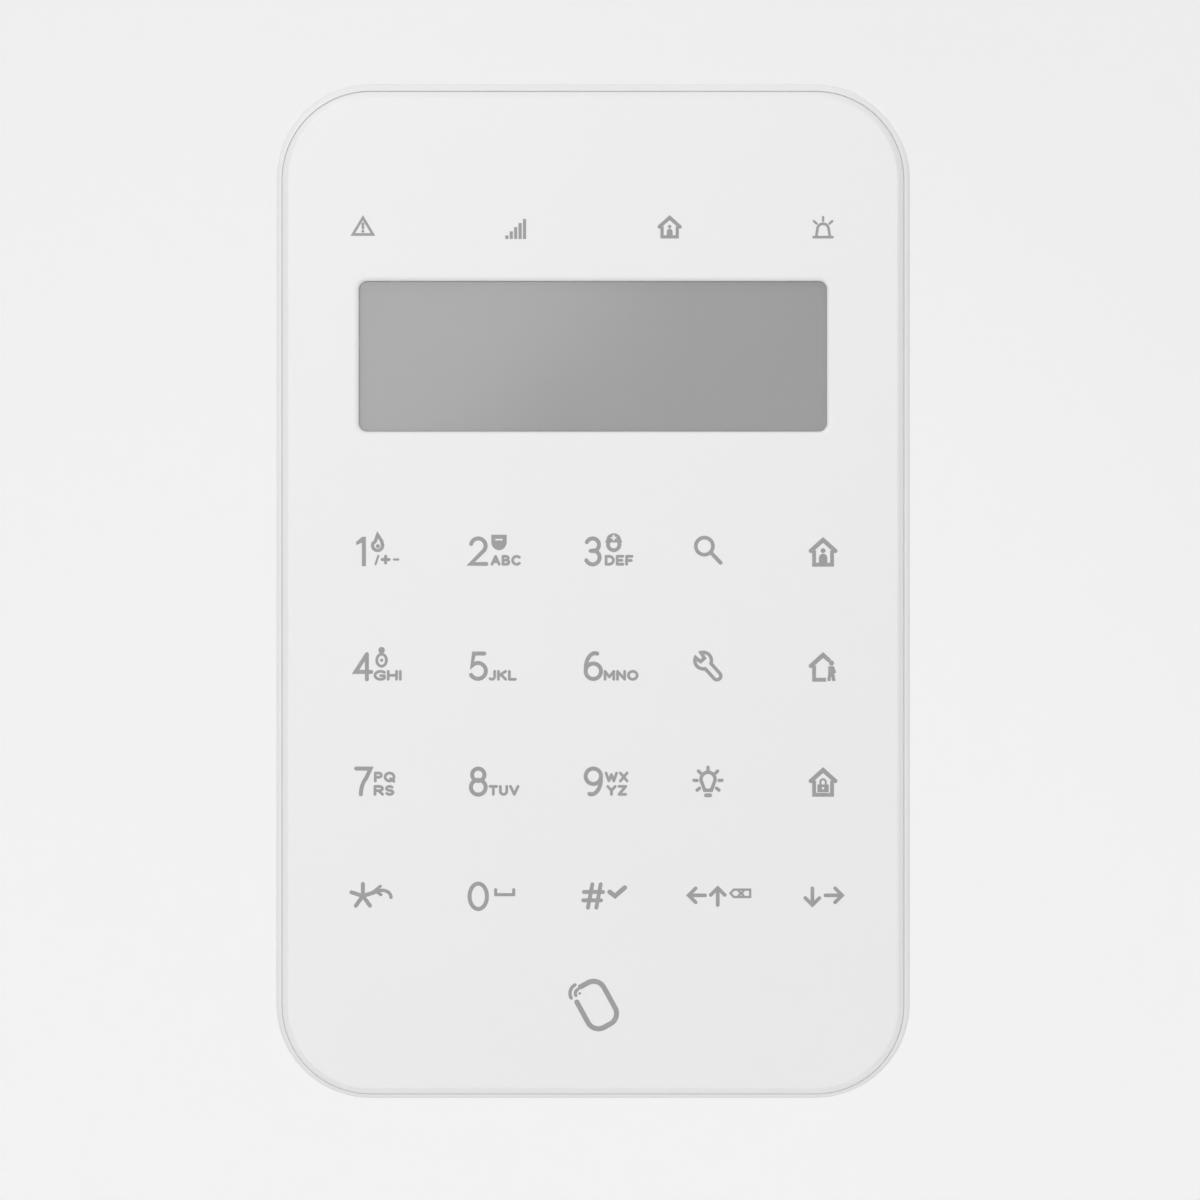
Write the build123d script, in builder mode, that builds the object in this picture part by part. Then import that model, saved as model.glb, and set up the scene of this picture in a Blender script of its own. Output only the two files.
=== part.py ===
from build123d import *

import math
import os

# Wall-mounted wireless alarm keypad with touch keys, a text display and a tag reader.
#
# Frame: X is to the right seen from the room, Z is up and -Y points into the room.
# The origin lies on the wall plane, behind the middle of the outline.
# Every depth below is a distance from the wall, so a depth of 27.5 is at Y = -27.5.
# All sizes are in millimetres.

# ---------------------------------------------------------------- outline
WIDTH = 95.0
HEIGHT = 152.0
DEPTH = 27.5
CORNER_RADIUS = 14.2

# ---------------------------------------------------------------- depths from the wall
PLATE_FRONT = 2.0
SHELL_BACK = 0.5
FLOOR_BACK = 2.6
FLOOR_FRONT = 4.2
SEAM = 18.0
SEAM_GAP = 0.2
PANEL_THICKNESS = 1.6
TAPE_THICKNESS = 0.2
LEDGE_THICKNESS = 1.5
STACK_THICKNESS = 3.0
BOARD_THICKNESS = 1.2
RIM_DROP = 1.0
PANEL_BACK = DEPTH - PANEL_THICKNESS
LEDGE_FRONT = PANEL_BACK - TAPE_THICKNESS
LEDGE_BACK = LEDGE_FRONT - LEDGE_THICKNESS
BOARD_FRONT = LEDGE_FRONT - STACK_THICKNESS
BOARD_BACK = BOARD_FRONT - BOARD_THICKNESS
RIM_FRONT = DEPTH - RIM_DROP

# ---------------------------------------------------------------- casing walls
WALL = 2.5
RIM_WIDTH = 0.9
RIM_ROUND = 1.1
EDGE_BREAK = 0.25
PANEL_GAP = 0.02
PANEL_SLOPE_WIDTH = 1.0
PANEL_SLOPE_DEPTH = 1.2
PANEL_ROUND = 0.4
PANEL_DROP = 0.25
SHELL_DRAFT_INSET = 0.8
SHELL_BACK_ROUND = 1.8
RECESS_INSET = 3.6
LEDGE_OPENING = (85.6, 142.6, 16.0)
TAPE_INSETS = (2.0, 4.0)
TONGUE_PLAY = 0.2
TONGUE_THICKNESS = 1.0
TONGUE_REACH = 2.0
TONGUE_ROOT = 1.3
TONGUE_OVERLAP = 0.5
RUN_OUT = 1.0

# ---------------------------------------------------------------- case and board screws
POST_X, POST_Z = 38.5, 67.0
POST_RADIUS = 5.0
POST_FRONT = 17.5
POST_PLAY = 0.3
BOSS_RADIUS = 4.0
BOSS_GAP = 0.1
SCREW_SEAT = 12.2
CASE_WELL_RADIUS = 2.8
CASE_HOLE_RADIUS = 1.6
CASE_PILOT_RADIUS = 1.3
CASE_PILOT_FRONT = 24.9
CASE_HEAD_RADIUS, CASE_HEAD_HEIGHT = 2.3, 1.8
CASE_SHANK_RADIUS, CASE_SHANK_LENGTH = 1.25, 12.0
CASE_DRIVE_LENGTH, CASE_DRIVE_WIDTH, CASE_DRIVE_DEPTH = 2.4, 0.6, 0.9
BOARD_SCREW_X, BOARD_SCREW_Z = 28.0, 68.5
SIDE_SCREW_X = 40.7
END_TAB_Z, END_TAB_SIZE = 69.3, (4.4, 6.4)
SIDE_TAB_X, SIDE_TAB_SIZE = 41.3, (5.0, 4.4)
BOARD_PILOT_RADIUS, BOARD_PILOT_DEPTH = 0.85, 2.3
BOARD_HEAD_RADIUS, BOARD_HEAD_HEIGHT = 1.7, 1.1
BOARD_SHANK_RADIUS, BOARD_SHANK_LENGTH = 0.8, 3.3
BOARD_DRIVE_LENGTH, BOARD_DRIVE_WIDTH, BOARD_DRIVE_DEPTH = 1.9, 0.45, 0.6

# ---------------------------------------------------------------- face layout
KEY_PITCH = 17.2
KEY_COLUMNS, KEY_ROWS = 5, 4
KEY_FIELD_Z = -19.95
DISPLAY_Z = 35.1
DISPLAY_WIDTH, DISPLAY_HEIGHT = 69.9, 22.4
DISPLAY_CORNER = 1.2
OPENING_ROUND = 0.75
STATUS_Z = 54.4
STATUS_PITCH = 22.93
TAG_Z = -61.9

# ---------------------------------------------------------------- display
FLANGE_REACH, FLANGE_THICKNESS = 1.3, 0.7
REBATE_REACH, REBATE_DEPTH = 1.5, 0.8
WINDOW_GAP = 0.03
WINDOW_RISE = 0.45
GASKET_OUTSIDE, GASKET_INSIDE = (78.0, 30.4), (70.6, 23.0)
BEZEL_OUTSIDE, BEZEL_INSIDE, BEZEL_VIEW = (79.0, 31.6), (77.0, 30.0), (71.4, 24.4)
BEZEL_ROUND = 1.0
BEZEL_SHEET = 0.2
POLARISER_SIZE = (71.2, 24.2)
GLASS_SIZE, GLASS_THICKNESS = (76.6, 29.6), 1.5
BACKLIGHT_SIZE, BACKLIGHT_RISE, BACKLIGHT_GAP = (76.6, 27.0), 1.3, 0.1
PIN_Z = 21.4
PIN_COUNT, PIN_PITCH = 20, 2.0
PIN_RADIUS, PIN_HOLE_RADIUS, PIN_TAIL = 0.3, 0.45, 0.6

# ---------------------------------------------------------------- circuit board and what it carries
BOARD_WIDTH, BOARD_HEIGHT = 87.0, 144.0
BOARD_NOTCH = 10.5
BOARD_HOLE_RADIUS = 1.1
PAD_SIZE, PAD_ROUND, PAD_HOLE, PAD_THICKNESS = 11.0, 2.0, 4.0, 0.1
LIGHT_LENGTH, LIGHT_WIDTH, LIGHT_HEIGHT = 1.6, 0.8, 0.6
GUIDE_SIZE, GUIDE_ROUND, GUIDE_THICKNESS, GUIDE_HOLE_RADIUS = (77.0, 68.8), 3.0, 1.8, 1.5
STATUS_BLOCK_SIZE, STATUS_BLOCK_ROUND, STATUS_CELL = (79.0, 6.2), 1.0, 4.8
PIPE_SIZE, PIPE_ROUND, PIPE_BACK_GAP = 4.6, 0.4, 0.8
FERRITE_SIZE, FERRITE_THICKNESS = (44.0, 16.0), 0.3
COIL_OUTSIDE, COIL_INSIDE, COIL_THICKNESS = (42.0, 14.6, 4.0), (36.0, 8.6, 1.2), 0.7
CONTROLLER_Z, CONTROLLER_SIZE, CONTROLLER_HEIGHT = 57.0, 12.0, 1.4
READER_Z, READER_SIZE, READER_HEIGHT = -56.0, 7.0, 1.0
CHIP_BEVEL = 0.25
PASSIVE_HEIGHT = 0.8
UPPER_PASSIVES = (30.0, 5.0, 2, 4)
UPPER_PASSIVE_SIZE = (2.0, 1.2)
LOWER_PASSIVES = (16.0, 4.0, 2, 3)
LOWER_PASSIVE_SIZE = (1.6, 0.9)
RADIO_X, RADIO_Z, RADIO_SIZE, RADIO_THICKNESS = 24.0, -45.0, (20.0, 14.0), 0.8
CAN_SHIFT, CAN_SIZE, CAN_ROUND, CAN_HEIGHT = 1.0, (15.0, 11.0), 0.8, 2.2
ANTENNA_X, ANTENNA_Z, ANTENNA_LENGTH = 24.0, -58.0, 22.0
ANTENNA_ARM, ANTENNA_SHEET, ANTENNA_HEIGHT = 1.0, 0.4, 5.0
ANTENNA_LEG, ANTENNA_LEG_XS = 1.2, (14.0, 19.0)
BUZZER_X, BUZZER_Z, BUZZER_RADIUS, BUZZER_HEIGHT = -22.0, -50.0, 7.0, 6.5
BUZZER_HOLE_RADIUS, BUZZER_HOLE_DEPTH, BUZZER_ROUND = 1.3, 1.5, 0.6

# ---------------------------------------------------------------- wall plate and lift-off travel
LIFT = 6.0
LIFT_SPARE = 0.5
PLATE_CLEARANCE = 0.4
PLATE_EDGE_BREAK = 0.3
PLATE_TOP = HEIGHT / 2 - RECESS_INSET - PLATE_CLEARANCE
PLATE_BOTTOM = -(HEIGHT / 2 - RECESS_INSET - PLATE_CLEARANCE - LIFT - LIFT_SPARE)
PLATE_WIDTH = WIDTH - 2 * RECESS_INSET - 2 * PLATE_CLEARANCE
PLATE_MID_Z = (PLATE_TOP + PLATE_BOTTOM) / 2
# shallow pockets in the plate's back: height of the middle, width and height
CORING_POCKETS = [(50.0, 30.0, 22.0), (17.0, 48.0, 20.0), (-17.0, 48.0, 20.0), (-47.0, 44.0, 20.0)]
CORING_DEPTH, CORING_ROUND = 0.8, 3.0
ARROW_Z, ARROW_DEPTH = 50.0, 0.4
ARROW_SHAPE = [(-5, 0), (0, 6), (5, 0), (2, 0), (2, -6), (-2, -6), (-2, 0)]
SCREW_HOLE_X, SCREW_HOLE_Z = 32.0, 58.0
SCREW_HOLE_RADIUS = 2.25
HEAD_SEAT_RADIUS, HEAD_SEAT_DEPTH = 4.2, 0.8
BOX_SLOT_X = 30.15
BOX_SLOT_LENGTH = 10.0
HOOK_X = 33.0
HOOK_STEMS_Z = (44.0, -42.0)
HOOK_WIDTH = 8.0
HOOK_STEM = 2.0
HOOK_LIP = 4.5
HOOK_LIP_BACK, HOOK_LIP_FRONT = 4.5, 6.0
HOOK_PLAY = 0.3
HOOK_SEAT_GAP = 0.05
HOOK_WINDOW = 4.6
SLOT_SIDE_PLAY = 0.5
LUG_HALF_WIDTH = 4.5
LUG_HEIGHT = 6.0
LUG_FRONT = 12.5
LUG_END_PLAY = 0.4

# ---------------------------------------------------------------- lock screw and sound slots
LOCK_DEPTH = 8.5
LUG_BORE_RADIUS = 1.6
LOCK_PAD_Z, LOCK_PAD_SIZE, LOCK_PAD_LENGTH = -73.0, (11.0, 2.2), 8.8
LOCK_SEAT_RADIUS, LOCK_SEAT_DEPTH = 3.1, 2.7
LOCK_HOLE_RADIUS, LOCK_HOLE_LENGTH = 1.7, 5.0
LOCK_HEAD_RADIUS, LOCK_HEAD_HEIGHT, LOCK_HEAD_ROUND = 2.75, 2.0, 0.6
LOCK_SHANK_RADIUS, LOCK_SHANK_LENGTH, LOCK_TIP_BEVEL = 1.5, 12.0, 0.4
LOCK_SOCKET_RADIUS, LOCK_SOCKET_DEPTH = 1.25, 1.2
LOCK_HEAD_TOP = -HEIGHT / 2 + LOCK_SEAT_DEPTH - 0.05
SOUND_SLOT_DEPTH = 10.5
SOUND_SLOT_SIZE = (7.0, 1.2)
SOUND_SLOT_COUNT, SOUND_SLOT_PITCH = 5, 2.4
SOUND_CUT = 3.5

# ---------------------------------------------------------------- batteries
CELL_COUNT = 4
CELL_RADIUS = 8.5
CELL_LENGTH = 34.5
CELL_PITCH = 18.2
CELL_DEPTH = 11.1
CELL_EDGE_ROUND = 0.7
NUB_RADIUS, NUB_HEIGHT = 3.3, 1.1
TROUGH_RADIUS = 8.7
BAY_Z = -3.0
BAY_LENGTH = 39.6
BAY_END_WALL = 1.2
BAY_FRONT = 20.7
BAY_HALF_WIDTH = 1.5 * CELL_PITCH + TROUGH_RADIUS + BAY_END_WALL
CONTACT_THICKNESS = 0.4
CONTACT_SIZE = (11.0, 12.0)
CONTACT_GAP = 0.05
TAB_WIDTH = 3.0
TAB_RISE = 3.2
TAB_PLAY = 0.2
TAB_SLIT = 1.0
LEAD_DEPTH = 18.7
LEAD_RADIUS = 0.55
CELL_SPRING_RADIUS, CELL_SPRING_WIRE, CELL_SPRING_PITCH = 3.6, 0.35, 1.2
CELL_SPRING_LENGTH = BAY_LENGTH - 2 * CONTACT_THICKNESS - CELL_LENGTH - CONTACT_GAP
CELL_XS = [(i - (CELL_COUNT - 1) / 2) * CELL_PITCH for i in range(CELL_COUNT)]
BAY_BOTTOM = BAY_Z - BAY_LENGTH / 2
BAY_TOP = BAY_Z + BAY_LENGTH / 2
# the plates that join two cells: x of the middle, and the lower face of the plate
BRIDGES = [(-CELL_PITCH, BAY_BOTTOM), (CELL_PITCH, BAY_BOTTOM), (0, BAY_TOP - CONTACT_THICKNESS)]
BRIDGE_DEPTH = 6.0
BRIDGE_SLIT = 4.0
BRIDGE_PLAY = 0.2
CONNECTOR_BOTTOM = 44.0
CONNECTOR_WIDTH, CONNECTOR_LENGTH, CONNECTOR_HEIGHT = 7.0, 5.0, 5.5
# route of the right battery lead, from the terminal tab to the connector, clear of the switch
# well and the plunger: distance from the middle line and height
LEAD_ROUTE = [(CELL_XS[-1], BAY_TOP + TAB_RISE), (CELL_XS[-1], 24.6), (22.5, 28.0), (14.5, 29.4),
              (7.0, 31.4), (1.9, 37.0), (1.9, CONNECTOR_BOTTOM)]

# ---------------------------------------------------------------- switches
SWITCH_Z = 36.0
SWITCH_GAP = 0.2
TAMPER_X = 20.0
TAMPER_TRAVEL = 1.5
TAMPER_BODY_BACK = 17.4
TAMPER_BODY_SIZE, TAMPER_BODY_ROUND = 6.2, 0.5
TAMPER_BUTTON_RADIUS, TAMPER_BUTTON_HEIGHT = 1.6, 0.7
PLUNGER_RADIUS = 2.0
PLUNGER_FIT = 0.15
PLUNGER_PLAY = 0.6
PLUNGER_TIP = 0.1
PLUNGER_TIP_ROUND = 0.6
PLUNGER_FRONT = TAMPER_BODY_BACK - TAMPER_BUTTON_HEIGHT - 0.1
COLLAR_BACK, COLLAR_FRONT = 8.0, 9.0
COLLAR_REACH = 1.3
PLUNGER_GUIDE_WALL = 1.6
TAMPER_SPRING_RADIUS, TAMPER_SPRING_WIRE, TAMPER_SPRING_PITCH = PLUNGER_RADIUS + 0.65, 0.28, 1.5
SPRING_GAP = 0.05
POWER_X = -20.0
POWER_TRAVEL = 2.0
POWER_BODY_BACK = 16.8
POWER_BODY_SIZE = (9.0, 4.6)
SLIDER_SIZE, SLIDER_ROUND = 2.0, 0.3
SLIDER_REACH, SLIDER_ROOT = 4.0, 0.8
SLIDER_SLOT_PLAY, SLIDER_SLOT_DEPTH = 0.2, 0.9
WELL_WIDTH, WELL_HEIGHT = 12.8, 8.0
WELL_WALL = 1.2

CORNERS = [(x, z) for x in (-POST_X, POST_X) for z in (-POST_Z, POST_Z)]
END_SCREWS = [(x, z) for x in (-BOARD_SCREW_X, BOARD_SCREW_X) for z in (-BOARD_SCREW_Z, BOARD_SCREW_Z)]
SIDE_SCREWS = [(x, KEY_FIELD_Z) for x in (-SIDE_SCREW_X, SIDE_SCREW_X)]
BOARD_SCREWS = END_SCREWS + SIDE_SCREWS
STATUS_XS = [(i - 1.5) * STATUS_PITCH for i in range(4)]
PIN_XS = [(i - (PIN_COUNT - 1) / 2) * PIN_PITCH for i in range(PIN_COUNT)]
HOOKS = [(x, z) for x in (-HOOK_X, HOOK_X) for z in HOOK_STEMS_Z]

os.makedirs("parts", exist_ok=True)


def layer(depth):
    """A plane parallel to the wall at this depth. Extruding from it goes into the room."""
    return Plane.XZ.offset(depth)


def outline(inset):
    """Width, height and corner radius of the casing outline, moved inwards by this much."""
    return WIDTH - 2 * inset, HEIGHT - 2 * inset, CORNER_RADIUS - inset


def save(piece, name):
    """Labels a finished sub-part and writes it as one STEP file."""
    piece.part.label = name
    export_step(piece.part, f"parts/{name}.step")


# ================================================================ wall plate
# Flat moulded plate that is screwed to the wall. Four upturned hooks carry the keypad,
# and a lug at the bottom takes the lock screw.
with BuildPart() as wall_plate:
    with BuildSketch(layer(0)):
        with Locations((0, PLATE_MID_Z)):
            RectangleRounded(PLATE_WIDTH, PLATE_TOP - PLATE_BOTTOM, CORNER_RADIUS - RECESS_INSET)
    extrude(amount=PLATE_FRONT)
    chamfer(wall_plate.faces().sort_by(Axis.Y)[0].edges(), length=PLATE_EDGE_BREAK)
    # shallow coring on the wall side, which leaves a level flange and cross ribs
    with BuildSketch(layer(0)):
        for pocket_z, pocket_width, pocket_height in CORING_POCKETS:
            with Locations((0, pocket_z)):
                RectangleRounded(pocket_width, pocket_height, CORING_ROUND)
    extrude(amount=CORING_DEPTH, mode=Mode.SUBTRACT)
    # "this way up" arrow sunk into the upper pocket
    with BuildSketch(layer(CORING_DEPTH)):
        with Locations((0, ARROW_Z)):
            Polygon(*ARROW_SHAPE)
    extrude(amount=ARROW_DEPTH, mode=Mode.SUBTRACT)
    # screw holes for plugs, with seats for the screw heads
    with Locations(*[layer(PLATE_FRONT).location * Pos(x, z, 0)
                     for x in (-SCREW_HOLE_X, SCREW_HOLE_X) for z in (-SCREW_HOLE_Z, SCREW_HOLE_Z)]):
        CounterBoreHole(radius=SCREW_HOLE_RADIUS, counter_bore_radius=HEAD_SEAT_RADIUS,
                        counter_bore_depth=HEAD_SEAT_DEPTH, depth=PLATE_FRONT)
    # slots for a wall box, moulding windows behind the hooks and the way for the tamper plunger
    with BuildSketch(layer(0)):
        with Locations((-BOX_SLOT_X, 0), (BOX_SLOT_X, 0)):
            SlotOverall(BOX_SLOT_LENGTH, 2 * SCREW_HOLE_RADIUS)
        with Locations(*[(x, z + HOOK_STEM + HOOK_PLAY + HOOK_WINDOW / 2) for x, z in HOOKS]):
            Rectangle(HOOK_WIDTH + 2 * HOOK_PLAY, HOOK_WINDOW)
        plunger_way = 2 * (PLUNGER_RADIUS + PLUNGER_PLAY)
        with Locations((TAMPER_X, SWITCH_Z + LIFT / 2)):
            SlotOverall(LIFT + plunger_way, plunger_way, rotation=90)
    extrude(amount=PLATE_FRONT, mode=Mode.SUBTRACT)
    # hooks: a stem that passes through the shell floor, and a lip behind it
    with BuildSketch(layer(PLATE_FRONT)):
        with Locations(*[(x, z + HOOK_STEM / 2) for x, z in HOOKS]):
            Rectangle(HOOK_WIDTH, HOOK_STEM)
    extrude(amount=HOOK_LIP_FRONT - PLATE_FRONT)
    with BuildSketch(layer(HOOK_LIP_BACK)):
        with Locations(*[(x, z + (HOOK_STEM + HOOK_LIP) / 2) for x, z in HOOKS]):
            Rectangle(HOOK_WIDTH, HOOK_STEM + HOOK_LIP)
    extrude(amount=HOOK_LIP_FRONT - HOOK_LIP_BACK)
    # lug for the lock screw
    with BuildSketch(layer(PLATE_FRONT)):
        with Locations((0, PLATE_BOTTOM + LUG_HEIGHT / 2)):
            Rectangle(2 * LUG_HALF_WIDTH, LUG_HEIGHT)
    extrude(amount=LUG_FRONT - PLATE_FRONT)
    with BuildSketch(Plane.XY.offset(PLATE_BOTTOM)):
        with Locations((0, -LOCK_DEPTH)):
            Circle(LUG_BORE_RADIUS)
    extrude(amount=LUG_HEIGHT, mode=Mode.SUBTRACT)
save(wall_plate, "wall_plate")

# ================================================================ rear shell
with BuildPart() as rear_shell:
    with BuildSketch(layer(SHELL_BACK)):
        RectangleRounded(*outline(SHELL_DRAFT_INSET))
    shell_depth = SEAM - SHELL_BACK
    extrude(amount=shell_depth, taper=-math.degrees(math.atan(SHELL_DRAFT_INSET / shell_depth)))
    fillet(rear_shell.faces().sort_by(Axis.Y)[-1].edges(), radius=SHELL_BACK_ROUND)
    chamfer(rear_shell.faces().sort_by(Axis.Y)[0].edges(), length=EDGE_BREAK)
    # inside of the casing
    with BuildSketch(layer(FLOOR_FRONT)):
        RectangleRounded(*outline(WALL))
    extrude(amount=SEAM - FLOOR_FRONT, mode=Mode.SUBTRACT)
    # recess that the wall plate sits in
    with BuildSketch(layer(SHELL_BACK)):
        RectangleRounded(*outline(RECESS_INSET))
    extrude(amount=FLOOR_BACK - SHELL_BACK, mode=Mode.SUBTRACT)
    # posts for the case screws, merged with the corner walls
    with BuildSketch(layer(FLOOR_BACK)):
        with Locations(*CORNERS):
            Circle(POST_RADIUS)
    extrude(amount=POST_FRONT - FLOOR_BACK)
    # battery bay block, power switch well, tamper guide and lock screw boss
    with BuildSketch(layer(FLOOR_BACK)):
        with Locations((0, BAY_Z)):
            Rectangle(2 * BAY_HALF_WIDTH, BAY_LENGTH + 2 * BAY_END_WALL)
    extrude(amount=BAY_FRONT - FLOOR_BACK)
    with BuildSketch(layer(FLOOR_BACK)):
        with Locations((POWER_X, SWITCH_Z)):
            Rectangle(WELL_WIDTH + 2 * WELL_WALL, WELL_HEIGHT + 2 * WELL_WALL)
    extrude(amount=POWER_BODY_BACK - SWITCH_GAP - FLOOR_BACK)
    with BuildSketch(layer(FLOOR_BACK)):
        with Locations((TAMPER_X, SWITCH_Z)):
            Circle(PLUNGER_RADIUS + PLUNGER_GUIDE_WALL)
    extrude(amount=COLLAR_BACK - TAMPER_TRAVEL - SWITCH_GAP - FLOOR_BACK)
    with BuildSketch(layer(FLOOR_FRONT)):
        with Locations((0, LOCK_PAD_Z)):
            Rectangle(*LOCK_PAD_SIZE)
    extrude(amount=LOCK_PAD_LENGTH)
    # wells and holes for the case screws
    with BuildSketch(layer(FLOOR_BACK)):
        with Locations(*CORNERS):
            Circle(CASE_WELL_RADIUS)
    extrude(amount=SCREW_SEAT - FLOOR_BACK, mode=Mode.SUBTRACT)
    with BuildSketch(layer(SCREW_SEAT)):
        with Locations(*CORNERS):
            Circle(CASE_HOLE_RADIUS)
    extrude(amount=POST_FRONT - SCREW_SEAT, mode=Mode.SUBTRACT)
    # battery troughs, open to the back
    with BuildSketch(Plane.XY.offset(BAY_BOTTOM)):
        for cell_x in CELL_XS:
            with Locations((cell_x, -CELL_DEPTH)):
                Circle(TROUGH_RADIUS)
            with Locations((cell_x, -(CELL_DEPTH + FLOOR_BACK) / 2)):
                Rectangle(2 * TROUGH_RADIUS, CELL_DEPTH - FLOOR_BACK)
    extrude(amount=BAY_LENGTH, mode=Mode.SUBTRACT)
    # gaps in the webs between the troughs for the plates that join two cells
    for bridge_x, bridge_z in BRIDGES:
        with BuildSketch(Plane.XY.offset(bridge_z)):
            with Locations((bridge_x, -CELL_DEPTH)):
                Rectangle(BRIDGE_SLIT, BRIDGE_DEPTH + 2 * BRIDGE_PLAY)
        extrude(amount=CONTACT_THICKNESS, mode=Mode.SUBTRACT)
    # slits for the two terminal tabs in the upper end wall
    with BuildSketch(Plane.XY.offset(BAY_TOP)):
        with Locations((CELL_XS[0], -LEAD_DEPTH), (CELL_XS[-1], -LEAD_DEPTH)):
            Rectangle(TAB_WIDTH + 2 * TAB_PLAY, TAB_SLIT)
    extrude(amount=BAY_END_WALL, mode=Mode.SUBTRACT)
    # openings through the floor: switch well, plunger, hooks and lug over their whole travel
    with BuildSketch(layer(FLOOR_BACK)):
        with Locations((POWER_X, SWITCH_Z)):
            Rectangle(WELL_WIDTH, WELL_HEIGHT)
        with Locations((TAMPER_X, SWITCH_Z)):
            Circle(PLUNGER_RADIUS + PLUNGER_FIT)
    extrude(amount=POWER_BODY_BACK - FLOOR_BACK, mode=Mode.SUBTRACT)
    with BuildSketch(layer(FLOOR_BACK)):
        slot_low, slot_high = -LIFT - HOOK_PLAY, HOOK_STEM + HOOK_SEAT_GAP
        with Locations(*[(x, z + (slot_low + slot_high) / 2) for x, z in HOOKS]):
            Rectangle(HOOK_WIDTH + 2 * SLOT_SIDE_PLAY, slot_high - slot_low)
        with Locations((0, PLATE_BOTTOM + (LUG_HEIGHT - LIFT) / 2)):
            Rectangle(2 * (LUG_HALF_WIDTH + SLOT_SIDE_PLAY), LUG_HEIGHT + LIFT + 2 * LUG_END_PLAY)
    extrude(amount=FLOOR_FRONT - FLOOR_BACK, mode=Mode.SUBTRACT)
    # lock screw: head seat and clearance hole through the bottom wall
    with BuildSketch(Plane.XY.offset(-HEIGHT / 2 - RUN_OUT)):
        with Locations((0, -LOCK_DEPTH)):
            Circle(LOCK_SEAT_RADIUS)
    extrude(amount=RUN_OUT + LOCK_SEAT_DEPTH, mode=Mode.SUBTRACT)
    with BuildSketch(Plane.XY.offset(-HEIGHT / 2)):
        with Locations((0, -LOCK_DEPTH)):
            Circle(LOCK_HOLE_RADIUS)
    extrude(amount=LOCK_HOLE_LENGTH, mode=Mode.SUBTRACT)
    # sound slots for the buzzer in the bottom wall
    with BuildSketch(Plane.XY.offset(-HEIGHT / 2 - RUN_OUT)):
        with Locations((BUZZER_X, -SOUND_SLOT_DEPTH)):
            with GridLocations(SOUND_SLOT_PITCH, 1, SOUND_SLOT_COUNT, 1):
                SlotOverall(*SOUND_SLOT_SIZE, rotation=90)
    extrude(amount=RUN_OUT + SOUND_CUT, mode=Mode.SUBTRACT)
save(rear_shell, "rear_shell")

# ================================================================ front frame
# Surround with a narrow rounded rim, a little wider at the top than at the bottom. The face panel
# lies in its pocket, taped to the ledge.
with BuildPart() as front_frame:
    with BuildSketch(layer(SEAM + SEAM_GAP)):
        RectangleRounded(*outline(0))
    extrude(amount=RIM_FRONT - SEAM - SEAM_GAP)
    fillet(front_frame.faces().sort_by(Axis.Y)[0].edges(), radius=RIM_ROUND)
    chamfer(front_frame.faces().sort_by(Axis.Y)[-1].edges(), length=EDGE_BREAK)
    with BuildSketch(layer(SEAM + SEAM_GAP)):
        RectangleRounded(*outline(WALL))
    extrude(amount=LEDGE_BACK - SEAM - SEAM_GAP, mode=Mode.SUBTRACT)
    with BuildSketch(layer(LEDGE_BACK)):
        RectangleRounded(*LEDGE_OPENING)
    extrude(amount=LEDGE_FRONT - LEDGE_BACK, mode=Mode.SUBTRACT)
    with BuildSketch(layer(LEDGE_FRONT)):
        with Locations((0, -PANEL_DROP)):
            RectangleRounded(*outline(RIM_WIDTH))
    extrude(amount=RIM_FRONT - LEDGE_FRONT, mode=Mode.SUBTRACT)
    # tongue that locates the frame inside the rear shell, cut away round the screw posts
    tongue_inside = WALL + TONGUE_PLAY + TONGUE_THICKNESS
    with BuildSketch(layer(SEAM + SEAM_GAP)):
        RectangleRounded(*outline(WALL - TONGUE_OVERLAP))
        RectangleRounded(*outline(tongue_inside), mode=Mode.SUBTRACT)
    extrude(amount=TONGUE_ROOT)
    with BuildSketch(layer(SEAM - TONGUE_REACH)):
        RectangleRounded(*outline(WALL + TONGUE_PLAY))
        RectangleRounded(*outline(tongue_inside), mode=Mode.SUBTRACT)
    extrude(amount=TONGUE_REACH + SEAM_GAP)
    with BuildSketch(layer(SEAM - TONGUE_REACH)):
        with Locations(*CORNERS):
            Circle(POST_RADIUS + POST_PLAY)
    extrude(amount=TONGUE_REACH, mode=Mode.SUBTRACT)
    # screw bosses in the corners and tabs that carry the circuit board
    with BuildSketch(layer(POST_FRONT + BOSS_GAP)):
        with Locations(*CORNERS):
            Circle(BOSS_RADIUS)
    extrude(amount=LEDGE_FRONT - POST_FRONT - BOSS_GAP)
    with BuildSketch(layer(BOARD_FRONT)):
        with Locations(*[(x, math.copysign(END_TAB_Z, z)) for x, z in END_SCREWS]):
            Rectangle(*END_TAB_SIZE)
        with Locations(*[(math.copysign(SIDE_TAB_X, x), z) for x, z in SIDE_SCREWS]):
            Rectangle(*SIDE_TAB_SIZE)
    extrude(amount=LEDGE_FRONT - BOARD_FRONT)
    with BuildSketch(layer(POST_FRONT)):
        with Locations(*CORNERS):
            Circle(CASE_PILOT_RADIUS)
    extrude(amount=CASE_PILOT_FRONT - POST_FRONT, mode=Mode.SUBTRACT)
    with BuildSketch(layer(BOARD_FRONT)):
        with Locations(*BOARD_SCREWS):
            Circle(BOARD_PILOT_RADIUS)
    extrude(amount=BOARD_PILOT_DEPTH, mode=Mode.SUBTRACT)
save(front_frame, "front_frame")

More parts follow.
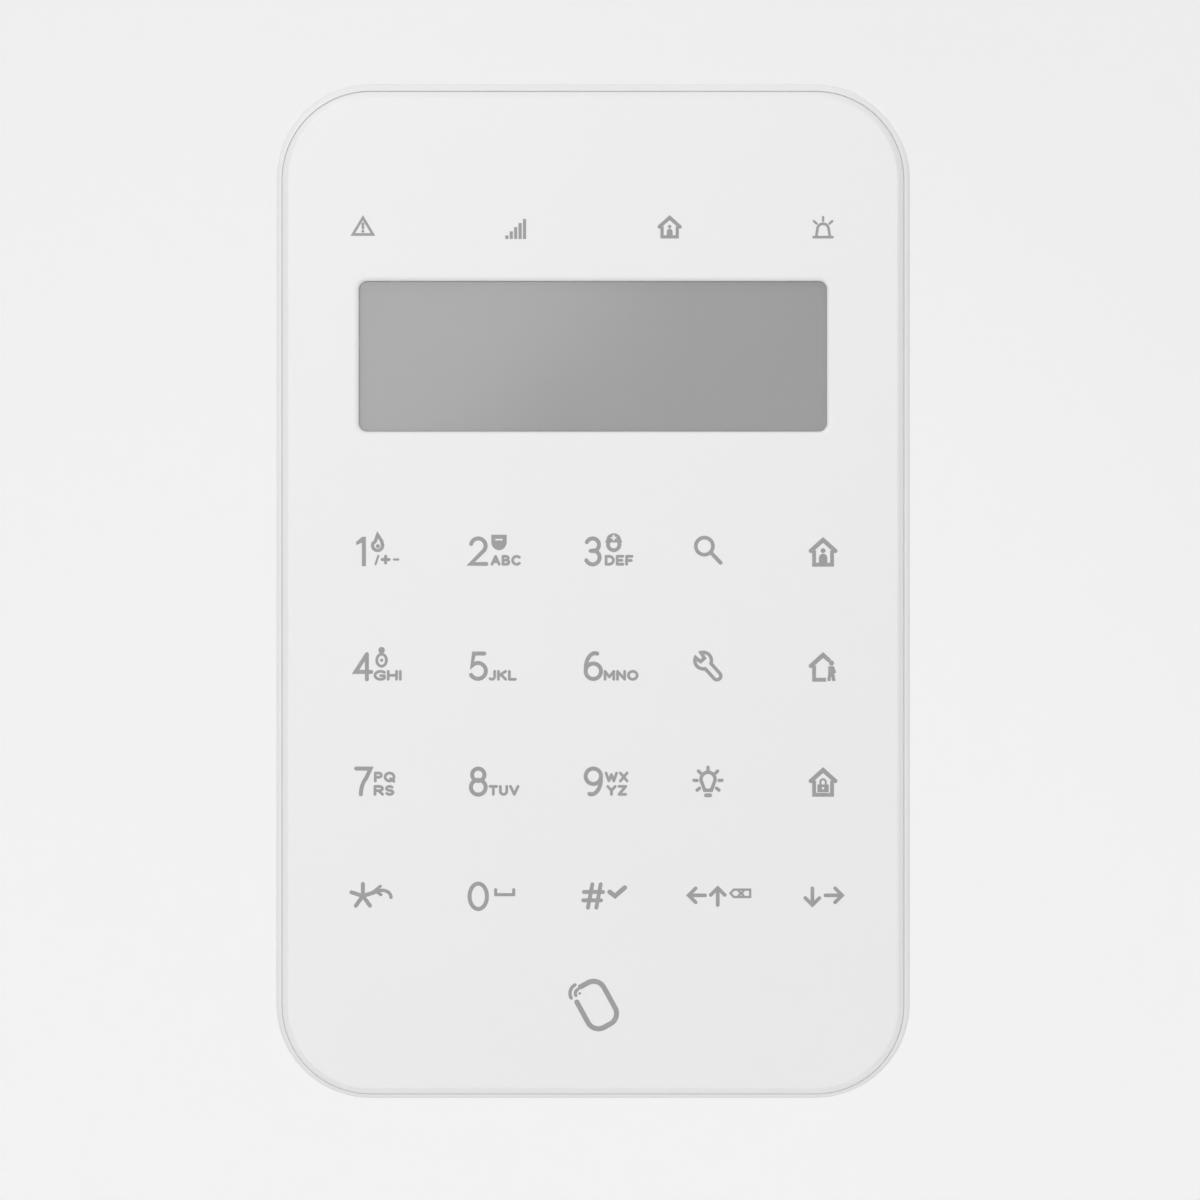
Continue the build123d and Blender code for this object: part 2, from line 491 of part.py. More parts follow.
# ================================================================ face panel and its tape
with BuildPart() as front_panel:
    with BuildSketch(layer(PANEL_BACK)):
        with Locations((0, -PANEL_DROP)):
            RectangleRounded(*outline(RIM_WIDTH + PANEL_GAP))
    extrude(amount=PANEL_THICKNESS)
    # the edge slopes down to the rim, and the slope meets the face in a soft round
    face = front_panel.faces().sort_by(Axis.Y)[0]
    chamfer(face.edges(), length=PANEL_SLOPE_WIDTH, length2=PANEL_SLOPE_DEPTH, reference=face)
    fillet(front_panel.faces().sort_by(Axis.Y)[0].edges(), radius=PANEL_ROUND)
    with BuildSketch(layer(PANEL_BACK)):
        with Locations((0, DISPLAY_Z)):
            RectangleRounded(DISPLAY_WIDTH, DISPLAY_HEIGHT, DISPLAY_CORNER)
    extrude(amount=PANEL_THICKNESS, mode=Mode.SUBTRACT)
    opening = front_panel.faces().sort_by(Axis.Y)[0].inner_wires()[0]
    fillet(opening.edges(), radius=OPENING_ROUND)
    # rebate behind the opening for the flange of the display window
    with BuildSketch(layer(PANEL_BACK)):
        with Locations((0, DISPLAY_Z)):
            RectangleRounded(DISPLAY_WIDTH + 2 * REBATE_REACH, DISPLAY_HEIGHT + 2 * REBATE_REACH,
                             DISPLAY_CORNER + REBATE_REACH)
    extrude(amount=REBATE_DEPTH, mode=Mode.SUBTRACT)
save(front_panel, "front_panel")

with BuildPart() as panel_tape:
    with BuildSketch(layer(LEDGE_FRONT)):
        RectangleRounded(*outline(TAPE_INSETS[0]))
        RectangleRounded(*outline(TAPE_INSETS[1]), mode=Mode.SUBTRACT)
    extrude(amount=TAPE_THICKNESS)
save(panel_tape, "panel_tape")

# ================================================================ display
with BuildPart() as display_window:
    with BuildSketch(layer(PANEL_BACK)):
        with Locations((0, DISPLAY_Z)):
            RectangleRounded(DISPLAY_WIDTH + 2 * FLANGE_REACH, DISPLAY_HEIGHT + 2 * FLANGE_REACH,
                             DISPLAY_CORNER + FLANGE_REACH)
    extrude(amount=FLANGE_THICKNESS)
    with BuildSketch(layer(PANEL_BACK + FLANGE_THICKNESS)):
        with Locations((0, DISPLAY_Z)):
            RectangleRounded(DISPLAY_WIDTH - 2 * WINDOW_GAP, DISPLAY_HEIGHT - 2 * WINDOW_GAP,
                             DISPLAY_CORNER - WINDOW_GAP)
    extrude(amount=WINDOW_RISE)
save(display_window, "display_window")

with BuildPart() as display_gasket:
    with BuildSketch(layer(LEDGE_FRONT)):
        with Locations((0, DISPLAY_Z)):
            Rectangle(*GASKET_OUTSIDE)
            Rectangle(*GASKET_INSIDE, mode=Mode.SUBTRACT)
    extrude(amount=TAPE_THICKNESS)
save(display_gasket, "display_gasket")

# sheet-metal frame of the display module, folded over the edge of its glass
with BuildPart() as display_bezel:
    with BuildSketch(layer(BOARD_FRONT)):
        with Locations((0, DISPLAY_Z)):
            RectangleRounded(*BEZEL_OUTSIDE, BEZEL_ROUND)
    extrude(amount=STACK_THICKNESS)
    with BuildSketch(layer(BOARD_FRONT)):
        with Locations((0, DISPLAY_Z)):
            Rectangle(*BEZEL_INSIDE)
    extrude(amount=STACK_THICKNESS - BEZEL_SHEET, mode=Mode.SUBTRACT)
    with BuildSketch(layer(LEDGE_FRONT - BEZEL_SHEET)):
        with Locations((0, DISPLAY_Z)):
            Rectangle(*BEZEL_VIEW)
    extrude(amount=BEZEL_SHEET, mode=Mode.SUBTRACT)
save(display_bezel, "display_bezel")

with BuildPart() as display_polariser:
    with BuildSketch(layer(LEDGE_FRONT - BEZEL_SHEET)):
        with Locations((0, DISPLAY_Z)):
            Rectangle(*POLARISER_SIZE)
    extrude(amount=BEZEL_SHEET)
save(display_polariser, "display_polariser")

GLASS_BACK = LEDGE_FRONT - BEZEL_SHEET - GLASS_THICKNESS
with BuildPart() as display_glass:
    with BuildSketch(layer(GLASS_BACK)):
        with Locations((0, DISPLAY_Z)):
            Rectangle(*GLASS_SIZE)
    extrude(amount=GLASS_THICKNESS)
save(display_glass, "display_glass")

with BuildPart() as display_backlight:
    with BuildSketch(layer(BOARD_FRONT + BACKLIGHT_GAP)):
        with Locations((0, DISPLAY_Z + BACKLIGHT_RISE)):
            Rectangle(*BACKLIGHT_SIZE)
    extrude(amount=GLASS_BACK - BOARD_FRONT - BACKLIGHT_GAP)
save(display_backlight, "display_backlight")

with BuildPart() as display_pins:
    with BuildSketch(layer(BOARD_BACK - PIN_TAIL)):
        with Locations(*[(x, PIN_Z) for x in PIN_XS]):
            Circle(PIN_RADIUS)
    extrude(amount=GLASS_BACK - BOARD_BACK + PIN_TAIL)
save(display_pins, "display_pins")

# ================================================================ circuit board and what it carries
with BuildPart() as circuit_board:
    with BuildSketch(layer(BOARD_BACK)):
        Rectangle(BOARD_WIDTH, BOARD_HEIGHT)
        notch_x, notch_z = (BOARD_WIDTH - BOARD_NOTCH) / 2, (BOARD_HEIGHT - BOARD_NOTCH) / 2
        with Locations(*[(math.copysign(notch_x, x), math.copysign(notch_z, z)) for x, z in CORNERS]):
            Rectangle(BOARD_NOTCH, BOARD_NOTCH, mode=Mode.SUBTRACT)
        with Locations(*BOARD_SCREWS):
            Circle(BOARD_HOLE_RADIUS, mode=Mode.SUBTRACT)
        with Locations(*[(x, PIN_Z) for x in PIN_XS]):
            Circle(PIN_HOLE_RADIUS, mode=Mode.SUBTRACT)
    extrude(amount=BOARD_THICKNESS)
save(circuit_board, "circuit_board")

# copper pads of the touch keys, each with an opening for its light
with BuildPart() as touch_pads:
    with BuildSketch(layer(BOARD_FRONT)):
        with Locations((0, KEY_FIELD_Z)):
            with GridLocations(KEY_PITCH, KEY_PITCH, KEY_COLUMNS, KEY_ROWS):
                RectangleRounded(PAD_SIZE, PAD_SIZE, PAD_ROUND)
                Rectangle(PAD_HOLE, PAD_HOLE, mode=Mode.SUBTRACT)
    extrude(amount=PAD_THICKNESS)
save(touch_pads, "touch_pads")

with BuildPart() as key_lights:
    with BuildSketch(layer(BOARD_FRONT)):
        with Locations((0, KEY_FIELD_Z)):
            with GridLocations(KEY_PITCH, KEY_PITCH, KEY_COLUMNS, KEY_ROWS):
                Rectangle(LIGHT_LENGTH, LIGHT_WIDTH)
    extrude(amount=LIGHT_HEIGHT)
save(key_lights, "key_lights")

with BuildPart() as key_light_guide:
    with BuildSketch(layer(LEDGE_FRONT - GUIDE_THICKNESS)):
        with Locations((0, KEY_FIELD_Z)):
            RectangleRounded(*GUIDE_SIZE, GUIDE_ROUND)
            with GridLocations(KEY_PITCH, KEY_PITCH, KEY_COLUMNS, KEY_ROWS):
                Circle(GUIDE_HOLE_RADIUS, mode=Mode.SUBTRACT)
    extrude(amount=GUIDE_THICKNESS)
save(key_light_guide, "key_light_guide")

with BuildPart() as status_light_block:
    with BuildSketch(layer(BOARD_FRONT)):
        with Locations((0, STATUS_Z)):
            RectangleRounded(*STATUS_BLOCK_SIZE, STATUS_BLOCK_ROUND)
        with Locations(*[(x, STATUS_Z) for x in STATUS_XS]):
            Rectangle(STATUS_CELL, STATUS_CELL, mode=Mode.SUBTRACT)
    extrude(amount=STACK_THICKNESS)
save(status_light_block, "status_light_block")

for number, pipe_x in enumerate(STATUS_XS, start=1):
    with BuildPart() as status_light_pipe:
        with BuildSketch(layer(BOARD_FRONT + PIPE_BACK_GAP)):
            with Locations((pipe_x, STATUS_Z)):
                RectangleRounded(PIPE_SIZE, PIPE_SIZE, PIPE_ROUND)
        extrude(amount=STACK_THICKNESS - PIPE_BACK_GAP)
    save(status_light_pipe, f"status_light_pipe_{number}")

with BuildPart() as status_lights:
    with BuildSketch(layer(BOARD_FRONT)):
        with Locations(*[(x, STATUS_Z) for x in STATUS_XS]):
            Rectangle(LIGHT_LENGTH, LIGHT_WIDTH)
    extrude(amount=LIGHT_HEIGHT)
save(status_lights, "status_lights")

with BuildPart() as ferrite_sheet:
    with BuildSketch(layer(BOARD_FRONT)):
        with Locations((0, TAG_Z)):
            Rectangle(*FERRITE_SIZE)
    extrude(amount=FERRITE_THICKNESS)
save(ferrite_sheet, "ferrite_sheet")

with BuildPart() as tag_antenna:
    with BuildSketch(layer(BOARD_FRONT + FERRITE_THICKNESS)):
        with Locations((0, TAG_Z)):
            RectangleRounded(*COIL_OUTSIDE)
            RectangleRounded(*COIL_INSIDE, mode=Mode.SUBTRACT)
    extrude(amount=COIL_THICKNESS)
save(tag_antenna, "tag_antenna")

with BuildPart() as microcontroller:
    with BuildSketch(layer(BOARD_BACK - CONTROLLER_HEIGHT)):
        with Locations((0, CONTROLLER_Z)):
            Rectangle(CONTROLLER_SIZE, CONTROLLER_SIZE)
    extrude(amount=CONTROLLER_HEIGHT)
    chamfer(microcontroller.faces().sort_by(Axis.Y)[-1].edges(), length=CHIP_BEVEL)
save(microcontroller, "microcontroller")

with BuildPart() as tag_reader_chip:
    with BuildSketch(layer(BOARD_BACK - READER_HEIGHT)):
        with Locations((0, READER_Z)):
            Rectangle(READER_SIZE, READER_SIZE)
    extrude(amount=READER_HEIGHT)
    chamfer(tag_reader_chip.faces().sort_by(Axis.Y)[-1].edges(), length=CHIP_BEVEL)
save(tag_reader_chip, "tag_reader_chip")

with BuildPart() as board_passives:
    with BuildSketch(layer(BOARD_BACK - PASSIVE_HEIGHT)):
        with Locations((0, CONTROLLER_Z)):
            with GridLocations(*UPPER_PASSIVES):
                Rectangle(*UPPER_PASSIVE_SIZE)
        with Locations((0, READER_Z)):
            with GridLocations(*LOWER_PASSIVES):
                Rectangle(*LOWER_PASSIVE_SIZE)
    extrude(amount=PASSIVE_HEIGHT)
save(board_passives, "board_passives")

# small radio board under a screening can
with BuildPart() as radio_module:
    with BuildSketch(layer(BOARD_BACK - RADIO_THICKNESS)):
        with Locations((RADIO_X, RADIO_Z)):
            Rectangle(*RADIO_SIZE)
    extrude(amount=RADIO_THICKNESS)
    with BuildSketch(layer(BOARD_BACK - RADIO_THICKNESS - CAN_HEIGHT)):
        with Locations((RADIO_X - CAN_SHIFT, RADIO_Z)):
            RectangleRounded(*CAN_SIZE, CAN_ROUND)
    extrude(amount=CAN_HEIGHT)
save(radio_module, "radio_module")

# sheet-metal antenna: a long arm on two legs
with BuildPart() as radio_antenna:
    with BuildSketch(Plane.XY.offset(ANTENNA_Z - ANTENNA_SHEET / 2)):
        with Locations((ANTENNA_X, -(BOARD_BACK - ANTENNA_HEIGHT) - ANTENNA_ARM / 2)):
            Rectangle(ANTENNA_LENGTH, ANTENNA_ARM)
        with Locations(*[(leg_x, -(BOARD_BACK - ANTENNA_HEIGHT / 2)) for leg_x in ANTENNA_LEG_XS]):
            Rectangle(ANTENNA_LEG, ANTENNA_HEIGHT)
    extrude(amount=ANTENNA_SHEET)
save(radio_antenna, "radio_antenna")

with BuildPart() as buzzer:
    with BuildSketch(layer(BOARD_BACK - BUZZER_HEIGHT)):
        with Locations((BUZZER_X, BUZZER_Z)):
            Circle(BUZZER_RADIUS)
    extrude(amount=BUZZER_HEIGHT)
    fillet(buzzer.faces().sort_by(Axis.Y)[-1].edges(), radius=BUZZER_ROUND)
    with BuildSketch(layer(BOARD_BACK - BUZZER_HEIGHT)):
        with Locations((BUZZER_X, BUZZER_Z)):
            Circle(BUZZER_HOLE_RADIUS)
    extrude(amount=BUZZER_HOLE_DEPTH, mode=Mode.SUBTRACT)
save(buzzer, "buzzer")

# ================================================================ tamper switch
with BuildPart() as tamper_switch:
    with BuildSketch(layer(TAMPER_BODY_BACK)):
        with Locations((TAMPER_X, SWITCH_Z)):
            RectangleRounded(TAMPER_BODY_SIZE, TAMPER_BODY_SIZE, TAMPER_BODY_ROUND)
    extrude(amount=BOARD_BACK - TAMPER_BODY_BACK)
    with BuildSketch(layer(TAMPER_BODY_BACK - TAMPER_BUTTON_HEIGHT)):
        with Locations((TAMPER_X, SWITCH_Z)):
            Circle(TAMPER_BUTTON_RADIUS)
    extrude(amount=TAMPER_BUTTON_HEIGHT)
save(tamper_switch, "tamper_switch")

# The plunger reaches the wall through the plate. At rest its tip is level with the wall plane.
with BuildPart() as tamper_plunger:
    with BuildSketch(layer(PLUNGER_TIP)):
        with Locations((TAMPER_X, SWITCH_Z)):
            Circle(PLUNGER_RADIUS)
    extrude(amount=PLUNGER_FRONT - PLUNGER_TIP)
    fillet(tamper_plunger.faces().sort_by(Axis.Y)[-1].edges(), radius=PLUNGER_TIP_ROUND)
    with BuildSketch(layer(COLLAR_BACK)):
        with Locations((TAMPER_X, SWITCH_Z)):
            Circle(PLUNGER_RADIUS + COLLAR_REACH)
    extrude(amount=COLLAR_FRONT - COLLAR_BACK)
save(tamper_plunger, "tamper_plunger")


def coil_spring(coil_radius, wire_radius, pitch, length, base):
    """A coil spring whose turns lie between the base plane and length above it."""
    with BuildPart() as spring:
        with BuildLine():
            coil = Helix(pitch=pitch, height=length - 2 * wire_radius, radius=coil_radius,
                         center=base.offset(wire_radius).origin, direction=base.z_dir)
        with BuildSketch(Plane(origin=coil @ 0, z_dir=coil % 0)):
            Circle(wire_radius)
        sweep(path=coil, is_frenet=True)
    return spring.part


with BuildPart() as tamper_spring:
    add(coil_spring(TAMPER_SPRING_RADIUS, TAMPER_SPRING_WIRE, TAMPER_SPRING_PITCH,
                    TAMPER_BODY_BACK - COLLAR_FRONT - 2 * SPRING_GAP,
                    Plane(origin=(TAMPER_X, -COLLAR_FRONT - SPRING_GAP, SWITCH_Z), z_dir=(0, -1, 0))))
save(tamper_spring, "tamper_spring")

# ================================================================ power switch
with BuildPart() as power_switch:
    with BuildSketch(layer(POWER_BODY_BACK)):
        with Locations((POWER_X, SWITCH_Z)):
            Rectangle(*POWER_BODY_SIZE)
    extrude(amount=BOARD_BACK - POWER_BODY_BACK)
    slider_way = SLIDER_SIZE + 2 * SLIDER_SLOT_PLAY
    with BuildSketch(layer(POWER_BODY_BACK)):
        with Locations((POWER_X, SWITCH_Z)):
            Rectangle(slider_way + POWER_TRAVEL, slider_way)
    extrude(amount=SLIDER_SLOT_DEPTH, mode=Mode.SUBTRACT)
save(power_switch, "power_switch")

with BuildPart() as power_slider:
    with BuildSketch(layer(POWER_BODY_BACK - SLIDER_REACH)):
        with Locations((POWER_X - POWER_TRAVEL / 2, SWITCH_Z)):
            Rectangle(SLIDER_SIZE, SLIDER_SIZE)
    extrude(amount=SLIDER_REACH + SLIDER_ROOT)
    fillet(power_slider.faces().sort_by(Axis.Y)[-1].edges(), radius=SLIDER_ROUND)
save(power_slider, "power_slider")

# ================================================================ batteries and contacts
# Cells 1 and 3 have their positive end up, cells 2 and 4 down, so that the four are in series.
for number, cell_x in enumerate(CELL_XS, start=1):
    up = 1 if number % 2 else -1
    flat_end = BAY_Z - up * (BAY_LENGTH / 2 - CONTACT_THICKNESS - CELL_SPRING_LENGTH)
    cell_base = Plane(origin=(cell_x, -CELL_DEPTH, flat_end), z_dir=(0, 0, up))
    with BuildPart() as battery:
        with BuildSketch(cell_base):
            Circle(CELL_RADIUS)
        extrude(amount=CELL_LENGTH - NUB_HEIGHT)
        fillet(battery.edges().filter_by(GeomType.CIRCLE), radius=CELL_EDGE_ROUND)
        with BuildSketch(cell_base.offset(CELL_LENGTH - NUB_HEIGHT)):
            Circle(NUB_RADIUS)
        extrude(amount=NUB_HEIGHT)
    save(battery, f"battery_{number}")

with BuildPart() as battery_springs:
    for number, cell_x in enumerate(CELL_XS, start=1):
        up = 1 if number % 2 else -1
        spring_base = BAY_Z - up * (BAY_LENGTH / 2 - CONTACT_THICKNESS - SPRING_GAP)
        add(coil_spring(CELL_SPRING_RADIUS, CELL_SPRING_WIRE, CELL_SPRING_PITCH,
                        CELL_SPRING_LENGTH - 2 * SPRING_GAP,
                        Plane(origin=(cell_x, -CELL_DEPTH, spring_base), z_dir=(0, 0, up))))
save(battery_springs, "battery_springs")

with BuildPart() as battery_contacts:
    for end_z in (BAY_BOTTOM, BAY_TOP - CONTACT_THICKNESS):
        with BuildSketch(Plane.XY.offset(end_z)):
            with Locations(*[(cell_x, -CELL_DEPTH) for cell_x in CELL_XS]):
                Rectangle(*CONTACT_SIZE)
        extrude(amount=CONTACT_THICKNESS)
    for bridge_x, bridge_z in BRIDGES:
        with BuildSketch(Plane.XY.offset(bridge_z)):
            with Locations((bridge_x, -CELL_DEPTH)):
                Rectangle(CELL_PITCH, BRIDGE_DEPTH)
        extrude(amount=CONTACT_THICKNESS)
    # terminal tabs of the first and last cell, through the slits in the end wall
    tab_front = LEAD_DEPTH + CONTACT_THICKNESS / 2
    with BuildSketch(Plane.XY.offset(BAY_TOP - CONTACT_THICKNESS)):
        with Locations(*[(x, -(CELL_DEPTH + tab_front) / 2) for x in (CELL_XS[0], CELL_XS[-1])]):
            Rectangle(TAB_WIDTH, tab_front - CELL_DEPTH)
    extrude(amount=CONTACT_THICKNESS)
    with BuildSketch(Plane.XY.offset(BAY_TOP - CONTACT_THICKNESS)):
        with Locations((CELL_XS[0], -LEAD_DEPTH), (CELL_XS[-1], -LEAD_DEPTH)):
            Rectangle(TAB_WIDTH, CONTACT_THICKNESS)
    extrude(amount=CONTACT_THICKNESS + TAB_RISE)
save(battery_contacts, "battery_contacts")

with BuildPart() as battery_connector:
    with BuildSketch(layer(BOARD_BACK - CONNECTOR_HEIGHT)):
        with Locations((0, CONNECTOR_BOTTOM + CONNECTOR_LENGTH / 2)):
            Rectangle(CONNECTOR_WIDTH, CONNECTOR_LENGTH)
    extrude(amount=CONNECTOR_HEIGHT)
save(battery_connector, "battery_connector")


def bend_radii(points):
    """The largest arc radius that each inner corner of a route allows."""
    radii = []
    for before, corner, after in zip(points, points[1:], points[2:]):
        run_in, run_out = corner - before, after - corner
        half_turn = math.radians(run_in.get_angle(run_out)) / 2
        radii.append(0.45 * min(run_in.length, run_out.length) / math.tan(half_turn))
    return radii


def lead(side):
    """One battery lead, on the left with side -1 and on the right with side 1."""
    points = [Vector(side * x, -LEAD_DEPTH, z) for x, z in LEAD_ROUTE]
    with BuildPart() as wire:
        with BuildLine():
            route = FilletPolyline(*points, radius=bend_radii(points))
        with BuildSketch(Plane(origin=route @ 0, z_dir=route % 0)):
            Circle(LEAD_RADIUS)
        sweep(path=route)
    print("lead radii", [round(r, 1) for r in bend_radii(points)], "length", round(route.length, 1),
          "volume", round(wire.part.volume, 2), "expected",
          round(math.pi * LEAD_RADIUS**2 * route.length, 2))
    return wire.part


with BuildPart() as battery_lead_positive:
    add(lead(-1))
save(battery_lead_positive, "battery_lead_positive")

with BuildPart() as battery_lead_negative:
    add(lead(1))
save(battery_lead_negative, "battery_lead_negative")

# ================================================================ screws
with BuildPart() as case_screws:
    with BuildSketch(layer(SCREW_SEAT - CASE_HEAD_HEIGHT)):
        with Locations(*CORNERS):
            Circle(CASE_HEAD_RADIUS)
    extrude(amount=CASE_HEAD_HEIGHT)
    with BuildSketch(layer(SCREW_SEAT)):
        with Locations(*CORNERS):
            Circle(CASE_SHANK_RADIUS)
    extrude(amount=CASE_SHANK_LENGTH)
    with BuildSketch(layer(SCREW_SEAT - CASE_HEAD_HEIGHT)):
        for corner in CORNERS:
            with Locations(corner):
                Rectangle(CASE_DRIVE_LENGTH, CASE_DRIVE_WIDTH)
                Rectangle(CASE_DRIVE_WIDTH, CASE_DRIVE_LENGTH)
    extrude(amount=CASE_DRIVE_DEPTH, mode=Mode.SUBTRACT)
save(case_screws, "case_screws")

with BuildPart() as board_screws:
    with BuildSketch(layer(BOARD_BACK - BOARD_HEAD_HEIGHT)):
        with Locations(*BOARD_SCREWS):
            Circle(BOARD_HEAD_RADIUS)
    extrude(amount=BOARD_HEAD_HEIGHT)
    with BuildSketch(layer(BOARD_BACK)):
        with Locations(*BOARD_SCREWS):
            Circle(BOARD_SHANK_RADIUS)
    extrude(amount=BOARD_SHANK_LENGTH)
    with BuildSketch(layer(BOARD_BACK - BOARD_HEAD_HEIGHT)):
        for place in BOARD_SCREWS:
            with Locations(place):
                Rectangle(BOARD_DRIVE_LENGTH, BOARD_DRIVE_WIDTH)
                Rectangle(BOARD_DRIVE_WIDTH, BOARD_DRIVE_LENGTH)
    extrude(amount=BOARD_DRIVE_DEPTH, mode=Mode.SUBTRACT)
save(board_screws, "board_screws")

with BuildPart() as lock_screw:
    with BuildSketch(Plane.XY.offset(LOCK_HEAD_TOP - LOCK_HEAD_HEIGHT)):
        with Locations((0, -LOCK_DEPTH)):
            Circle(LOCK_HEAD_RADIUS)
    extrude(amount=LOCK_HEAD_HEIGHT)
    fillet(lock_screw.faces().sort_by(Axis.Z)[0].edges(), radius=LOCK_HEAD_ROUND)
    with BuildSketch(Plane.XY.offset(LOCK_HEAD_TOP)):
        with Locations((0, -LOCK_DEPTH)):
            Circle(LOCK_SHANK_RADIUS)
    extrude(amount=LOCK_SHANK_LENGTH)
    chamfer(lock_screw.faces().sort_by(Axis.Z)[-1].edges(), length=LOCK_TIP_BEVEL)
    with BuildSketch(Plane.XY.offset(LOCK_HEAD_TOP - LOCK_HEAD_HEIGHT)):
        with Locations((0, -LOCK_DEPTH)):
            RegularPolygon(radius=LOCK_SOCKET_RADIUS, side_count=6)
    extrude(amount=LOCK_SOCKET_DEPTH, mode=Mode.SUBTRACT)
save(lock_screw, "lock_screw")
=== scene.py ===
import math

import bmesh
import bpy
from mathutils import Matrix, Vector
from mathutils.geometry import tessellate_polygon


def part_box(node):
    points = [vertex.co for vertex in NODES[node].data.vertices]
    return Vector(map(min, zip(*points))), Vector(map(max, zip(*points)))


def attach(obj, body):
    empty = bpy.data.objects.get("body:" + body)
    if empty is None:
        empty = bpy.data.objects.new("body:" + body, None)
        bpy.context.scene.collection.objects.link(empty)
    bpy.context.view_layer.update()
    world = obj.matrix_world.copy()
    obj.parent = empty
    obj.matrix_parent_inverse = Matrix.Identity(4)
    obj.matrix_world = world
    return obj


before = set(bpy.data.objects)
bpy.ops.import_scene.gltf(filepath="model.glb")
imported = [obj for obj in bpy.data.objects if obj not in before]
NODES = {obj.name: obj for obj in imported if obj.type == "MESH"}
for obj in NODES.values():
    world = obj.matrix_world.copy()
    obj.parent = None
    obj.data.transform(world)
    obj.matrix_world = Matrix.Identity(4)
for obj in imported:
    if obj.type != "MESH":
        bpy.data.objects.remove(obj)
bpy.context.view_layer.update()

# Looks for the wall-mounted alarm keypad. Lengths are in metres, apart from the printed
# legends, which are drawn in millimetres about their own place on the face.

HOUSING = "housing"
MM = 0.001

# ------------------------------------------------------------------ places, from the frame
FACE_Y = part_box("front_panel")[0].y
KEY_COLUMNS, KEY_ROWS = 5, 4
KEY_PAD = 11 * MM  # side of one square touch pad


def middle(node):
    """x and z of the middle of a CAD node."""
    low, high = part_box(node)
    return (low.x + high.x) / 2, (low.z + high.z) / 2


def key_places():
    """Middles of the keys, row by row from the top left."""
    low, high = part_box("touch_pads")
    left, top = low.x + KEY_PAD / 2, high.z - KEY_PAD / 2
    step_x = (high.x - low.x - KEY_PAD) / (KEY_COLUMNS - 1)
    step_z = (high.z - low.z - KEY_PAD) / (KEY_ROWS - 1)
    return [[(left + step_x * c, top - step_z * r) for c in range(KEY_COLUMNS)]
            for r in range(KEY_ROWS)]


# ------------------------------------------------------------------ materials
class Finish:
    """One material: a Principled shader and the pattern nodes that drive it."""

    def __init__(self, name, colour, roughness, **sockets):
        self.material = bpy.data.materials.new(name)
        self.material.use_nodes = True
        self.tree = self.material.node_tree
        self.shader = self.tree.nodes["Principled BSDF"]
        self.output = self.tree.nodes["Material Output"]
        self.colour = colour
        self.shader.inputs["Base Color"].default_value = (*colour, 1)
        self.shader.inputs["Roughness"].default_value = roughness
        for socket, value in sockets.items():
            self.shader.inputs[socket.replace("_", " ")].default_value = value
        self.coords = self.node("ShaderNodeTexCoord").outputs["Object"]
        self.normal = None

    def node(self, kind, **settings):
        """A new node, with its sockets or its own settings filled in by name."""
        made = self.tree.nodes.new(kind)
        for key, value in settings.items():
            if key in made.inputs:
                made.inputs[key].default_value = value
            else:
                setattr(made, key, value)
        return made

    def link(self, source, target):
        self.tree.links.new(source, target)
        return target

    def stretched(self, scale):
        """Object coordinates scaled unevenly, for grain that runs one way."""
        mapping = self.node("ShaderNodeMapping")
        mapping.inputs["Scale"].default_value = scale
        self.link(self.coords, mapping.inputs["Vector"])
        return mapping.outputs["Vector"]

    def noise(self, size, detail=2.0, along=None):
        """Noise whose features are about this many metres across."""
        made = self.node("ShaderNodeTexNoise", Scale=1 / size, Detail=detail)
        self.link(along or self.coords, made.inputs["Vector"])
        return made.outputs["Fac"]

    def cells(self, size):
        """Distance from the middles of rounded cells about this many metres across."""
        made = self.node("ShaderNodeTexVoronoi", Scale=1 / size)
        self.link(self.coords, made.inputs["Vector"])
        return made.outputs["Distance"]

    def spread(self, source, low, high, start=0.3, end=0.7):
        """Maps a pattern from start..end to low..high."""
        made = self.node("ShaderNodeMapRange")
        for index, value in enumerate((start, end, low, high), start=1):
            made.inputs[index].default_value = value
        self.link(source, made.inputs[0])
        return made.outputs[0]

    def math(self, operation, first, second=0.0):
        """One sum of two values, each a number or a socket."""
        made = self.node("ShaderNodeMath", operation=operation)
        for socket, value in zip(made.inputs, (first, second)):
            if isinstance(value, (int, float)):
                socket.default_value = value
            else:
                self.link(value, socket)
        return made.outputs[0]

    def blend(self, factor, first, second):
        """Mixes two colours, each a tuple or a socket."""
        made = self.node("ShaderNodeMix", data_type="RGBA")
        sockets = [s for s in made.inputs if s.enabled]
        self.link(factor, sockets[0])
        for socket, value in zip(sockets[1:], (first, second)):
            if isinstance(value, tuple):
                socket.default_value = (*value, 1)
            else:
                self.link(value, socket)
        return [s for s in made.outputs if s.enabled][0]

    def paint(self, colour):
        self.link(colour, self.shader.inputs["Base Color"])
        return self

    def mottle(self, size, amount, detail=3.0):
        """Slight lighter and darker patches in the base colour."""
        patches = self.spread(self.noise(size, detail), 0, 1)
        darker = tuple(c * (1 - amount) for c in self.colour)
        lighter = tuple(min(1, c * (1 + amount)) for c in self.colour)
        return self.paint(self.blend(patches, darker, lighter))

    def roughen(self, size, low, high, detail=3.0, along=None):
        """Roughness that wanders between two values."""
        wander = self.spread(self.noise(size, detail, along), low, high)
        self.link(wander, self.shader.inputs["Roughness"])
        return self

    def bump(self, height, depth, strength=1.0):
        """Adds relief of this depth in metres, on top of any relief added before."""
        made = self.node("ShaderNodeBump", Strength=strength, Distance=depth)
        self.link(height, made.inputs["Height"])
        if self.normal is not None:
            self.link(self.normal, made.inputs["Normal"])
        self.normal = made.outputs["Normal"]
        self.link(self.normal, self.shader.inputs["Normal"])
        return self

    def put_on(self, *names):
        for name in names:
            dress(NODES[name], self.material)
        return self


